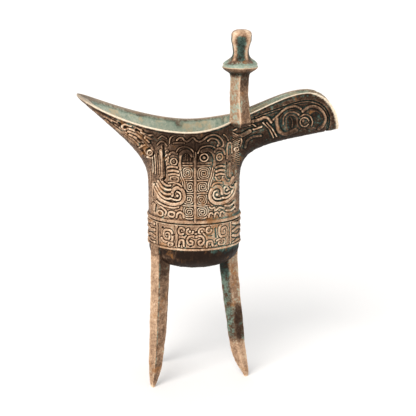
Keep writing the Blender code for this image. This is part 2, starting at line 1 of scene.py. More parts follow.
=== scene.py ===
"""Looks of an old cast bronze wine goblet: an oval cup with a spout, a pointed tail, two capped
posts, a strap handle and three blade legs, under a skin of sand-brown and green patina."""

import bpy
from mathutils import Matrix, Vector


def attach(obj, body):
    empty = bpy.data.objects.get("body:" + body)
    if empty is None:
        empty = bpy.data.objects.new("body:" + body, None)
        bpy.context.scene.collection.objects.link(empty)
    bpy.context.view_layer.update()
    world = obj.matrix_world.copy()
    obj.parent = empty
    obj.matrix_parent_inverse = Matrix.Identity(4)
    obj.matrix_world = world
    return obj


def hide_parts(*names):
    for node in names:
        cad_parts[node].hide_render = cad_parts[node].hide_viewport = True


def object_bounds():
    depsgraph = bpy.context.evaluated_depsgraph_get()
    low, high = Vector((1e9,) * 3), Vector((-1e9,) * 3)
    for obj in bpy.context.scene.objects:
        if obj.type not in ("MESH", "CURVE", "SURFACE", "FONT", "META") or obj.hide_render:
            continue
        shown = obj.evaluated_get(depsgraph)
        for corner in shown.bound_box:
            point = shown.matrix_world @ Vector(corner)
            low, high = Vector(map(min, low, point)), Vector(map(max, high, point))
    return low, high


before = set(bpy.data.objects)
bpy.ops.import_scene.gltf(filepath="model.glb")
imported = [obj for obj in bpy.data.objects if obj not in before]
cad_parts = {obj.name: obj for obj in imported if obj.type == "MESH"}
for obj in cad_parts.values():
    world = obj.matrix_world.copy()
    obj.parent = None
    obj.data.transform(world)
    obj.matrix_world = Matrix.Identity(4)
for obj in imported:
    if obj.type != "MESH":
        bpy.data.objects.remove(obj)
cad_low, cad_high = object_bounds()

from math import cos, pi, radians, sin, tan, tau

import bpy
import numpy as np
from mathutils import Vector, noise

# The cup
# The cup, spout and tail are one bronze casting, about 2 mm thick, poured in a carved clay mould.
# The carving came out of the mould with it: a band under a bead, and over them a mask with eyes,
# curled jaws and a ground of fine square spirals. Sizes are those of the solid model, in metres.
LEG_HEIGHT = 0.0742
BOWL_DEPTH = 0.0141
BAND_HEIGHT = 0.0161
NECK_ABOVE_BAND = 0.0216
RIM_ABOVE_NECK = 0.0328
TAIL_ABOVE_RIM = 0.0186
SPOUT_ABOVE_RIM = 0.0203
MOUTH_HEIGHT = 0.0222
CUP_HALF_LENGTH = 0.0272
CUP_HALF_WIDTH = 0.0228
WALL = 0.0023
BOWL_FULLNESS = 2.7
RIM_LOW_X = -0.0040
RIM_FLARE = 0.0005
WALL_LINE_RISE = 0.0110
TAIL_LENGTH = 0.0680
TAIL_CURVE = 1.75
TAIL_SLOPE = radians(49.5)
TAIL_LINE_RISE = 0.0160
TAIL_LINE_REACH = 0.0380
TAIL_TIP_SOLID = 0.0062
TAIL_EDGE = 0.0013
TAIL_EDGE_SHARE = 0.06
SPOUT_ROOT_ANGLE = radians(36)
SPOUT_END_ANGLE = radians(25)
SPOUT_LENGTH = 0.0846
SPOUT_HALF_WIDTH = 0.0078
SPOUT_SLOPE = radians(11)
SPOUT_LINE_RISE = 0.0200
SPOUT_LINE_REACH = 0.0495
SPOUT_TAPER = 0.10
SPOUT_SHOULDER = 0.0016
MOUTH_RUN = 0.0176
MOUTH_FULLNESS = 2.6
MOUTH_CROWDING = 1.8
ROOT_SWEEP = 1.3
WALL_TURN = 0.6
RIM_CURVE_START = 0.0310
RIM_CURVE_END = 0.0200
HANDLE_REACH = 0.0140
RIM_STEPS = 400

BAND_BOTTOM_Z = LEG_HEIGHT + BOWL_DEPTH
BAND_TOP_Z = BAND_BOTTOM_Z + BAND_HEIGHT
NECK_Z = BAND_TOP_Z + NECK_ABOVE_BAND
RIM_LOW_Z = NECK_Z + RIM_ABOVE_NECK
SPOUT_TOP_Z = RIM_LOW_Z + SPOUT_ABOVE_RIM
SPOUT_END_Z = SPOUT_TOP_Z - MOUTH_HEIGHT
SPOUT_TOP_X = SPOUT_LENGTH - MOUTH_RUN

# The cup's axis stands off the middle of the box: the tail is shorter than the spout.
AXIS = np.array(Vector((cad_low.x + TAIL_LENGTH, cad_high.y - CUP_HALF_WIDTH - HANDLE_REACH, 0.0)))


def bezier(a, b, c, d, t):
    return a * (1 - t) ** 3 + b * 3 * (1 - t) ** 2 * t + c * 3 * (1 - t) * t**2 + d * t**3


def smooth(value):
    value = np.clip(value, 0, 1)
    return value * value * (3 - 2 * value)


def rim_height(x):
    """Height of the rim over any place along the cup."""
    t = np.linspace(0, 1, RIM_STEPS)
    start, end = RIM_LOW_X + RIM_CURVE_START, SPOUT_TOP_X - RIM_CURVE_END
    reach = bezier(RIM_LOW_X, start, end, SPOUT_TOP_X, t)
    rise = bezier(RIM_LOW_Z, RIM_LOW_Z, SPOUT_TOP_Z, SPOUT_TOP_Z, t)
    share = np.clip((RIM_LOW_X - x) / (TAIL_LENGTH + RIM_LOW_X), 0, None)
    tail = RIM_LOW_Z + TAIL_ABOVE_RIM * share**TAIL_CURVE
    return np.where(x >= RIM_LOW_X, np.interp(x, reach, rise), tail)


def rim_points(angle, inset):
    """The rim's edge at each angle, and the wall's run along X there."""
    side = np.where(angle <= pi, 1, -1)
    u = np.where(angle <= pi, angle, tau - angle)
    turn = (pi / 2) * (1 - np.clip(1 - u / SPOUT_END_ANGLE, 0, 1) ** MOUTH_CROWDING)
    power = 2 / MOUTH_FULLNESS
    bottom = SPOUT_END_Z + inset
    mouth_z = bottom + (SPOUT_TOP_Z - bottom) * (1 - np.clip(np.cos(turn), 0, 1) ** power)
    mouth_y = (SPOUT_HALF_WIDTH - inset) * np.sin(turn) ** power
    height = (mouth_z - SPOUT_END_Z) / MOUTH_HEIGHT
    mouth_x = SPOUT_TOP_X + MOUTH_RUN * np.sqrt(np.clip(1 - height**2, 0, 1))
    share = np.clip((u - SPOUT_END_ANGLE) / (SPOUT_ROOT_ANGLE - SPOUT_END_ANGLE), 0, 1)
    root_x = (CUP_HALF_LENGTH - inset) * cos(SPOUT_ROOT_ANGLE)
    root_y = (CUP_HALF_WIDTH + RIM_FLARE - inset) * sin(SPOUT_ROOT_ANGLE)
    side_x = SPOUT_TOP_X + (root_x - SPOUT_TOP_X) * share
    narrow = SPOUT_HALF_WIDTH - inset
    side_y = narrow + (root_y - narrow) * share**ROOT_SWEEP
    oval_y = (CUP_HALF_WIDTH + RIM_FLARE - inset) * np.sin(u)
    tip = TAIL_LENGTH - TAIL_TIP_SOLID * inset / WALL
    zones = [u <= SPOUT_END_ANGLE, u <= SPOUT_ROOT_ANGLE, u <= pi / 2]
    x = np.select(zones, [mouth_x, side_x, (CUP_HALF_LENGTH - inset) * np.cos(u)], tip * np.cos(u))
    y = np.select(zones, [mouth_y, side_y, oval_y], oval_y)
    z = np.where(zones[0], mouth_z, rim_height(x))
    run = np.select(zones, [1.0 + 0 * u, 1 - share, 0 * u], np.cos(u))
    return np.stack([x, side * y, z], -1), run


def cup_rings(angle, rows, inset):
    """Rings of the plain wall. Rows run 0 to 1 over the bowl, to 2 at the neck and to 3 at the rim."""
    flat = 0 * angle
    radius_x = (CUP_HALF_LENGTH - inset) * np.cos(angle)
    radius_y = (CUP_HALF_WIDTH - inset) * np.sin(angle)
    neck = np.stack([radius_x, radius_y, flat + NECK_Z], -1)
    top, run = rim_points(angle, inset)
    out, back = np.clip(run, 0, 1), np.clip(-run, 0, 1)
    spout_slope = pi / 2 + (SPOUT_SLOPE - pi / 2) * out**WALL_TURN
    spout_reach = WALL_LINE_RISE + (SPOUT_LINE_REACH - WALL_LINE_RISE) * out
    tail_slope = TAIL_SLOPE * back**WALL_TURN
    tail_reach = WALL_LINE_RISE + (TAIL_LINE_REACH - WALL_LINE_RISE) * back
    rise = WALL_LINE_RISE + (SPOUT_LINE_RISE + inset - WALL_LINE_RISE) * out
    rise = rise + (TAIL_LINE_RISE + inset - WALL_LINE_RISE) * back
    width = top[:, 1] / SPOUT_HALF_WIDTH
    to_spout = [-np.cos(spout_slope) * spout_reach, SPOUT_TAPER * out * spout_reach * width,
                -np.sin(spout_slope) * spout_reach]
    to_tail = [np.sin(tail_slope) * tail_reach, flat, -np.cos(tail_slope) * tail_reach]
    pull = np.where((run > 0)[:, None], np.stack(to_spout, -1), np.stack(to_tail, -1))
    lift = np.stack([flat, SPOUT_SHOULDER * out * width, rise], -1)
    edge = np.stack([flat, flat, -TAIL_EDGE * np.clip(-np.cos(angle), 0, 1) * (inset == 0)], -1)
    rings = []
    for row in rows:
        if row <= 1:
            power = 2 / BOWL_FULLNESS
            wide = sin(pi / 2 * row) ** power
            deep = (BOWL_DEPTH - inset) * max(0.0, cos(pi / 2 * row)) ** power
            ring = np.stack([radius_x * wide, radius_y * wide, flat + BAND_BOTTOM_Z - deep], -1)
        elif row <= 2:
            z = BAND_BOTTOM_Z + (NECK_Z - BAND_BOTTOM_Z) * (row - 1)
            ring = np.stack([radius_x, radius_y, flat + z], -1)
        else:
            along = (row - 2) / (1 - TAIL_EDGE_SHARE)
            ring = bezier(neck, neck + lift + edge, top + pull + edge, top + edge * (inset == 0), along)
            if along > 1:
                ring = top + edge * (3 - row) / TAIL_EDGE_SHARE
        rings.append(ring)
    return np.stack(rings)


def wrapped_sheet(name, rings):
    """A grid with its points moved onto the rings, its seam and its two ends not yet merged."""
    bpy.ops.object.select_all(action="DESELECT")
    rows, columns = rings.shape[0] - 1, rings.shape[1]
    bpy.ops.mesh.primitive_grid_add(x_subdivisions=columns, y_subdivisions=rows)
    piece = bpy.context.object
    piece.name = piece.data.name = name
    closed = np.concatenate([rings, rings[:, :1]], 1) + AXIS
    piece.data.vertices.foreach_set("co", closed.astype(np.float32).ravel())
    return piece


SAME_POINT = 1e-6


def select_only(piece):
    bpy.ops.object.select_all(action="DESELECT")
    piece.select_set(True)
    bpy.context.view_layer.objects.active = piece


def merge_and_face_out(piece):
    select_only(piece)
    bpy.ops.object.mode_set(mode="EDIT")
    bpy.ops.mesh.select_all(action="SELECT")
    bpy.ops.mesh.remove_doubles(threshold=SAME_POINT)
    bpy.ops.mesh.normals_make_consistent(inside=False)
    bpy.ops.object.mode_set(mode="OBJECT")


def write_attribute(piece, name, values):
    layer = piece.data.attributes.get(name) or piece.data.attributes.new(name, "FLOAT", "POINT")
    layer.data.foreach_set("value", np.asarray(values, dtype=np.float32).ravel())


def read(items, name, kind=np.float32, width=1):
    """One property of all the items of a mesh."""
    values = np.empty(len(items) * width, kind)
    items.foreach_get(name, values)
    return values


def read_attribute(piece, name):
    return read(piece.data.attributes[name].data, "value").astype(float)


def read_points(piece):
    """A piece's points on the cup's axis, and its normals."""
    points = read(piece.data.vertices, "co", width=3).reshape(-1, 3).astype(float)
    normals = read(piece.data.vertex_normals, "vector", width=3).reshape(-1, 3).astype(float)
    return points - AXIS, normals


def raise_surface(piece, points, normals, relief):
    """Moves each point out by its relief in millimetres, within the solid model's corners."""
    raised = points + normals * relief[:, None] / MM
    raised = np.clip(raised, np.array(cad_low) - AXIS, np.array(cad_high) - AXIS)
    piece.data.vertices.foreach_set("co", (raised + AXIS).astype(np.float32).ravel())
    piece.data.update()
    return raised


def edge_ends(piece):
    """The two points of each edge."""
    return read(piece.data.edges, "vertices", np.int32, 2).reshape(-1, 2).T


def blurred(piece, values, rounds):
    """Each point's value averaged with its neighbours', again and again."""
    a, b = edge_ends(piece)
    count = len(values)
    near = np.bincount(a, minlength=count) + np.bincount(b, minlength=count)
    for _ in range(rounds):
        total = np.bincount(a, values[b], count) + np.bincount(b, values[a], count)
        values = (values + total) / (near + 1)
    return values


def refine(piece, wanted, rounds):
    """Splits the outer faces whose longest side is over what is wanted at its middle."""
    for _ in range(rounds):
        mesh = piece.data
        points, _ = read_points(piece)
        a, b = edge_ends(piece)
        outer = read_attribute(piece, "outer")
        long_edge = np.linalg.norm(points[a] - points[b], axis=1) > wanted((points[a] + points[b]) / 2)
        long_edge &= np.minimum(outer[a], outer[b]) > 0.5
        edge_of_loop = read(mesh.loops, "edge_index", np.int32)
        start = read(mesh.polygons, "loop_start", np.int32)
        chosen = np.logical_or.reduceat(long_edge[edge_of_loop], start)
        bpy.ops.object.mode_set(mode="EDIT")
        bpy.ops.mesh.select_all(action="DESELECT")
        bpy.ops.mesh.select_mode(type="FACE")
        bpy.ops.object.mode_set(mode="OBJECT")
        mesh.polygons.foreach_set("select", chosen)
        bpy.ops.object.mode_set(mode="EDIT")
        bpy.ops.mesh.subdivide(number_cuts=1)
        bpy.ops.object.mode_set(mode="OBJECT")


# The carving is drawn in millimetres on a chart of the wall: across, from the middle of a side,
# and up, from the floor. Later strokes are cut round, so they stand out from earlier ones.
# A stroke is its points, half its width, its height and the depth of the ditch beside it.
MM = 1000.0
CURVE_STEPS = 6
SPIRAL_STEPS = 20
SPIRAL_POWER = 0.62
STROKE_REACH = 2.0
DITCH_WIDTH = 0.42
BOSS_DITCH = 0.3
BOSS_DITCH_WIDTH = 0.34
OUT_OF_REACH = 1000.0
BELOW_ALL = -9.0


def curve(points):
    """A smooth line through a list of points. Two points, or a line that is ready, stay as they are."""
    p = np.array(points, float)
    if isinstance(points, np.ndarray) or len(points) == 2:
        return p
    p = np.concatenate([[2 * p[0] - p[1]], p, [2 * p[-1] - p[-2]]])
    t = np.linspace(0, 1, CURVE_STEPS, endpoint=False)[:, None]
    spans = []
    for a, b, c, d in zip(p, p[1:], p[2:], p[3:]):
        spans.append(0.5 * (2 * b + (c - a) * t + (2 * a - 5 * b + 4 * c - d) * t**2
                            + (3 * b - a - 3 * c + d) * t**3))
    return np.concatenate(spans + [p[-2:-1]])


def squarer(wave, power):
    """A sine or cosine bent towards a square wave."""
    return np.sign(wave) * np.abs(wave) ** power


def oval(middle, half_x, half_z, start=0, end=360, squareness=2.0):
    """Part of a round or squared ring."""
    turn = np.radians(np.linspace(start, end, max(8, int(abs(end - start) / 12))))
    x = middle[0] + half_x * squarer(np.cos(turn), 2 / squareness)
    z = middle[1] + half_z * squarer(np.sin(turn), 2 / squareness)
    return np.stack([x, z], -1)


def square_spiral(middle, half_x, half_z, turns, hand=1, start=45):
    """A spiral with rounded square turns, from its outer end to its middle."""
    count = int(turns * SPIRAL_STEPS)
    turn = np.radians(start) + hand * np.linspace(0, tau * turns, count)
    grow = np.linspace(1, 0.12, count)
    x = middle[0] + half_x * grow * squarer(np.cos(turn), SPIRAL_POWER)
    z = middle[1] + half_z * grow * squarer(np.sin(turn), SPIRAL_POWER)
    return np.stack([x, z], -1)


def cast_grain(points, layers):
    """Smooth bumps in layers, each with its height and its size in millimetres."""
    return sum(height * np.array([noise.noise(Vector(p)) for p in points * (MM / size)])
               for height, size in layers)


def apply_modifiers(piece):
    select_only(piece)
    for modifier in list(piece.modifiers):
        bpy.ops.object.modifier_apply(modifier=modifier.name)


def thin_out(piece, most):
    """Fewer triangles where the surface is plain, until there are no more than the most."""
    count = sum(len(face.vertices) - 2 for face in piece.data.polygons)
    fewer = piece.modifiers.new("fewer", "DECIMATE")
    fewer.ratio = min(1.0, most / count)
    fewer.use_collapse_triangulate = True
    apply_modifiers(piece)


def hump(away, half, power=2):
    """From 1 where away is 0 to 0 on both sides."""
    return np.exp(-((away / half) ** power))


def dome(away, half, flatness=2):
    """From 1 at the middle of a stroke to 0 at its edge."""
    return np.sqrt(np.clip(1 - (away / half) ** flatness, 0, 1))


def beside(away, half, width):
    """From 1 at the edge of a stroke to 0 outside its ditch."""
    return hump(np.maximum(away, half) - half, width)


class Carving:
    """Height of the carving over the plain wall, at points of one chart."""

    def __init__(self, across, up, weight):
        self.across = across
        self.up = up
        self.weight = weight
        self.height = np.zeros(len(across))

    def distance(self, line, reach):
        """How far each point is from a line, worked out where it may be within reach."""
        low, high = line.min(0) - reach, line.max(0) + reach
        near = (self.across > low[0]) & (self.across < high[0])
        near &= (self.up > low[1]) & (self.up < high[1])
        x, z = self.across[near], self.up[near]
        found = np.full(len(x), OUT_OF_REACH)
        for (x0, z0), (x1, z1) in zip(line, line[1:]):
            dx, dz = x1 - x0, z1 - z0
            share = np.clip(((x - x0) * dx + (z - z0) * dz) / (dx * dx + dz * dz + 1e-12), 0, 1)
            found = np.minimum(found, np.hypot(x - x0 - share * dx, z - z0 - share * dz))
        best = np.full(len(self.across), OUT_OF_REACH)
        best[near] = found
        return best

    def ridge(self, points, half, height, ditch=0.3, flatness=2):
        """A raised stroke with a ditch along both sides."""
        half = half * self.weight
        away = self.distance(curve(points), half + STROKE_REACH)
        raised = np.where(away < half, (height + ditch) * dome(away, half, flatness) - ditch, BELOW_ALL)
        self.height = np.maximum(self.height - ditch * beside(away, half, DITCH_WIDTH), raised)

    def groove(self, points, half, depth):
        away = self.distance(curve(points), half + STROKE_REACH)
        self.height = self.height - depth * dome(away, half)

    def boss(self, middle, radius, height, hole=0.0):
        """A round knob, with a drilled middle where hole has a size."""
        away = np.hypot(self.across - middle[0], self.up - middle[1])
        ditch = BOSS_DITCH * beside(away, radius, BOSS_DITCH_WIDTH)
        raised = np.where(away < radius, height * dome(away, radius), BELOW_ALL)
        self.height = np.maximum(self.height - ditch, raised)
        if hole:
            self.height = self.height - height * dome(away, hole)

    def eye(self, middle, radius):
        """A ringed eye with a drilled pupil."""
        self.boss(middle, radius * 1.25, 0.7)
        self.ridge(oval(middle, radius, radius), 0.45, 1.1, 0.35)
        self.boss(middle, radius * 0.5, 1.1, radius * 0.22)


def carve_mask(chart, plain):
    """The mask on one side of the cup: its ground, crest, eyes, jaws and claws."""
    ridge, groove, boss, eye = chart.ridge, chart.groove, chart.boss, chart.eye
    ground = [
        ((-3.4, 135.4), 3.4, 3.9, 3.2, 1), ((6.1, 135.0), 4.2, 4.2, 3.6, -1),
        ((-1.9, 127.2), 2.3, 3.5, 2.3, 1), ((5.4, 127.0), 3.7, 3.6, 3.1, -1),
        ((-2.6, 119.8), 3.1, 3.3, 2.7, 1), ((4.7, 119.5), 3.2, 3.4, 2.8, -1),
        ((-2.5, 112.2), 3.2, 3.2, 2.6, 1), ((5.1, 112.0), 3.6, 3.6, 3.0, -1),
    ]
    field = smooth((chart.across + 7) / 0.5) * smooth((11.6 - chart.across) / 0.5)
    field *= smooth((chart.up - 141.2) / 0.5) * smooth((148.4 - chart.up) / 0.8)
    chart.height -= 0.5 * field
    if not plain:
        for middle, half_x, half_z, turns, hand in ground:
            ridge(square_spiral(middle, half_x, half_z, turns, hand, 90 + 45 * hand), 0.27, 0.5, 0.5)
        for x in (-2.3, 4.6):
            ridge(oval((x, 109.6), 3.4, 1.5, 200, 340), 0.3, 0.4, 0.35)
        for z in (139.6, 131.0, 123.3, 115.9):
            ridge([(-6.0, z), (0.2, z)], 0.3, 0.45, 0.35)
            ridge([(1.9, z - 0.2), (9.6, z - 0.2)], 0.3, 0.45, 0.35)
        for x in np.arange(-5.8, 11, 0.95):
            if x < 0 or x > 2:
                groove([(x, 141.6), (x, 147.8)], 0.3, 0.5)
        ridge(oval((6.2, 144.2), 2.3, 2.2), 0.3, 0.5, 0.3)
        boss((6.2, 144.2), 0.8, 0.5)
    # Double lines that close the ground on both sides, the middle seam and the bar over it
    for shift in (0.0, 1.2):
        ridge([(-8.6 + shift, 137.4), (-7.6 + shift, 133), (-6.2 + shift, 130),
               (-5.9 + shift, 125.8)], 0.36, 0.6, 0.4)
        ridge([(12.6 - shift, 138.8), (11.4 - shift, 133), (10.2 - shift, 129.6),
               (9.9 - shift, 125.6)], 0.36, 0.6, 0.4)
    ridge([(1.0, 106), (1.0, 147)], 0.62, 0.55, 0.3, 4)
    groove([(1.0, 148), (1.0, 153)], 0.35, 0.5)
    # Crest: two horns bent over the dark fields, with an outer line
    ridge([(-7.6, 137.6), (-8.0, 142), (-7.4, 145.8), (-5.0, 147.9), (-2.4, 147.6),
           (-0.6, 145.6)], 0.9, 0.85, 0.45)
    ridge([(-10.2, 146.4), (-8.6, 149.4), (-5.8, 150.6), (-2.6, 150.2), (-0.2, 148.2),
           (0.3, 145)], 0.36, 0.7, 0.35)
    ridge([(12.4, 138.8), (12.8, 143.4), (11.4, 147), (8.4, 148.8), (5.0, 148.2)], 0.9, 0.8, 0.45)
    ridge([(14.0, 145.6), (13.2, 148.6), (11, 150.6), (7.6, 151.0), (4.4, 150.0),
           (2.6, 147.0)], 0.36, 0.7, 0.35)
    # Cloud scroll under the rim
    wave = [(-9.4, 154.6), (-7.7, 155.8), (-6, 155.6), (-4.9, 154.2), (-3.5, 153.7), (-2.2, 154.5),
            (-0.6, 155.7), (0.3, 155.7), (1.7, 154.3), (3.6, 153.6), (5.6, 154.5), (7.6, 156.0),
            (9.6, 157.0), (11.9, 157.2), (14.2, 156.4), (16.2, 154.8), (17.7, 152.6), (17.8, 150.6),
            (16.4, 149.4)]
    ridge(wave, 0.5, 0.95, 0.5)
    ridge([(-11.4, 152.6), (-8.5, 152.9), (-5.0, 152.9)], 0.5, 0.8, 0.5)
    ridge([(8.4, 153.9), (10.2, 155.1), (12.3, 154.9), (14.2, 153.7), (15.0, 151.8),
           (14.2, 150.7)], 0.5, 0.9, 0.5)
    ridge([(-13.9, 152.8), (-13.4, 155.4), (-11.6, 157.0), (-10, 157.3)], 0.45, 0.8, 0.45)
    # Eyes under their hoods, and the ledges of the nose below them
    boss((-11.6, 143.4), 3.6, 0.7)
    eye((-11.2, 142.0), 1.9)
    ridge([(-14.9, 142.4), (-14.4, 145.6), (-12.2, 147.2), (-9.4, 146.4)], 0.6, 1.0)
    boss((15.2, 144.4), 3.4, 0.7)
    eye((15.4, 144.0), 1.9)
    ridge([(12.2, 147.3), (14.4, 149.0), (17.4, 148.2), (18.9, 145.4)], 0.6, 1.0)
    for left, right, z in ((-15, -9.2, 138.7), (-14.8, -8.7, 136.3), (-14.4, -8.3, 134.1),
                           (13.2, 18.8, 138.4), (13.4, 18.8, 136.0), (13.4, 18.4, 133.8)):
        ridge([(left, z - 0.3), ((left + right) / 2, z + 0.2), (right, z - 0.3)], 0.62, 0.95, 0.5)
    ridge(oval((-11, 131.4), 2.5, 1.5, squareness=2.6), 0.5, 0.7, 0.4)
    ridge([(13, 132.2), (14, 130.5), (15.6, 129.8), (17.2, 130.6), (17.8, 132)], 0.5, 0.7)
    # Jaws: two big curls with their arms swept out and up to the ends
    left_jaw = [(-12.4, 121.8), (-12.2, 123.8), (-11.0, 125.6), (-8.9, 126.5), (-6.5, 125.3), (-5.3, 122.6),
                (-5.5, 119.8), (-7.4, 117.5), (-10.4, 116.4), (-14.8, 116.6), (-19.4, 118.0), (-23.4, 121.0),
                (-25.8, 126.0)]
    right_jaw = [(17.2, 122.2), (17.0, 124.4), (15.6, 126.2), (13.4, 126.8), (10.9, 125.5), (9.6, 122.7),
                 (9.9, 119.7), (11.8, 117.5), (14.6, 116.6), (18.8, 116.8), (23.2, 118.4), (26.6, 121.6),
                 (28.6, 126)]
    left_hook = [(-13.2, 119.6), (-10.6, 119.1), (-8.2, 119.3), (-7.2, 121.2), (-7.7, 123.3), (-9.4, 124.0)]
    right_hook = [(17.6, 119.6), (15.2, 119.2), (12.8, 119.6), (11.6, 121.4), (12.0, 123.6), (13.6, 124.4)]
    for jaw, hook, pupil in ((left_jaw, left_hook, (-9.3, 121.6)), (right_jaw, right_hook, (13.9, 121.9))):
        ridge(jaw, 0.85, 1.2, 0.55, 3)
        ridge(hook, 0.5, 1.0, 0.5)
        boss(pupil, 0.9, 1.1)
    for arm in ([(-13.2, 119.6), (-16.8, 119.4), (-20.6, 121.2), (-24.2, 125.2)],
                [(-13.2, 122.3), (-16.6, 122.0), (-20.0, 123.6), (-23.2, 127.2)],
                [(-13.2, 124.9), (-16.2, 124.7), (-19.4, 126.0), (-22.0, 129.0)],
                [(-13.6, 127.4), (-15.8, 127.2), (-18.6, 128.6), (-20.6, 131.2)],
                [(17.6, 119.6), (20.8, 119.4), (24.2, 121.4), (26.4, 124.6)]):
        ridge(arm, 0.58, 0.95, 0.5, 3)
    ridge([(23.0, 122.2), (20.8, 121.5), (18.8, 122.2), (18.2, 123.8), (19.0, 125.6), (20.8, 125.8),
           (21.5, 124.4), (20.5, 123.6)], 0.5, 0.85, 0.5)
    ridge([(22.8, 126.6), (24.2, 124.8), (25.6, 124.6)], 0.5, 0.7)
    ridge([(18.0, 130.4), (19.8, 127.8), (23.2, 127.4), (26, 130.4)], 1.0, 0.9)
    # Long hanging slots, each with a raised strip beside it
    ridge([(-19.9, 148.0), (-19.7, 131.8)], 0.9, 0.6, 0.25, 4)
    groove([(-18.0, 150.6), (-17.4, 142), (-17.1, 134), (-17.6, 131.4), (-19.2, 130.2)], 0.9, 1.1)
    groove([(20.7, 140), (20.6, 133), (21.9, 130.7), (23.8, 130.2)], 0.6, 0.9)
    ridge([(22.9, 139), (23.2, 132.4)], 0.9, 0.6, 0.25, 4)
    ridge([(20.6, 142.6), (20.8, 149.6), (22.4, 151.6), (24.1, 150.2), (24.5, 145.4)], 0.5, 0.8)
    groove([(22.5, 144.5), (22.5, 149)], 0.7, 0.8)
    # Flutes on the flanks, and waves above them
    for x in (-28.2, -25.9, -22.3):
        groove([(x, 146), (x + 0.4, 139), (x + 0.3, 133)], 0.55, 0.8)
        ridge([(x + 1.2, 145), (x + 1.5, 139), (x + 1.3, 133.4)], 0.5, 0.45, 0.3)
    for x in (26.4, 28.4):
        groove([(x, 138), (x + 0.4, 131)], 0.5, 0.7)
    ridge([(-22.4, 151.6), (-20, 153.4), (-17.4, 153.0), (-15.6, 151.2)], 0.5, 0.75, 0.45)
    ridge([(-21.6, 155.2), (-18.8, 156.6), (-15.8, 155.4)], 0.45, 0.7, 0.45)
    ridge([(18.4, 156.6), (20.4, 155.0), (21.4, 153.0)], 0.45, 0.7, 0.45)
    for z in (142.5, 145.0, 147.5):
        ridge([(-16.4, z), (-15.6, z + 0.9), (-14.8, z + 0.4)], 0.4, 0.6, 0.4)
    ridge([(-14.6, 128.8), (-11.8, 129.4), (-8.6, 128.6), (-6.8, 127.2)], 0.5, 0.7, 0.45)
    ridge([(17.4, 128.4), (14.4, 129.0), (12.0, 128.4), (10.8, 127.0)], 0.5, 0.7, 0.45)
    # Claws over the bead
    ridge(oval((-21.0, 109.8), 2.0, 1.5, squareness=2.4), 0.5, 0.6, 0.5)
    ridge([(-24, 116.6), (-20.6, 115.2), (-16.2, 114.4), (-12.2, 114.2), (-8.8, 115.0)], 0.55, 0.6, 0.45)
    ridge(oval((-13, 110.2), 2.0, 1.4, squareness=2.4), 0.6, 0.6, 0.5)
    ridge([(-10, 108.7), (-9.3, 111.0), (-7.8, 111.8), (-6.1, 110.8), (-5.7, 108.9)], 0.6, 0.6, 0.5)
    ridge([(-20.5, 113.8), (-18.3, 112.7), (-16.7, 111.3), (-17.3, 109.4)], 0.55, 0.6, 0.45)
    ridge([(9.4, 114.8), (10.8, 113.8), (12.4, 114.3), (12.9, 112.3), (15.4, 114.0),
           (18, 113.3)], 0.5, 0.6, 0.45)
    for x in (10.3, 13.9, 17.4):
        ridge([(x - 1.4, 108.7), (x - 1, 110.6), (x + 0.2, 111.3), (x + 1.3, 110.3)], 0.5, 0.55, 0.5)
    boss((-27.2, 112.6), 2.6, 0.5)
    for slot in ([(-27.0, 126.6), (-27.6, 119.4)], [(-24.5, 114.2), (-25.6, 110.0)],
                 [(27, 114), (29, 110.4)], [(-29.6, 134), (-29.4, 127)]):
        groove(slot, 0.75, 0.9)
    for arm in ([(19.6, 114.6), (23.4, 114.0), (27, 115.4)], [(20.4, 111.6), (24, 111.0), (27.6, 112.2)]):
        ridge(arm, 0.6, 0.6, 0.5)


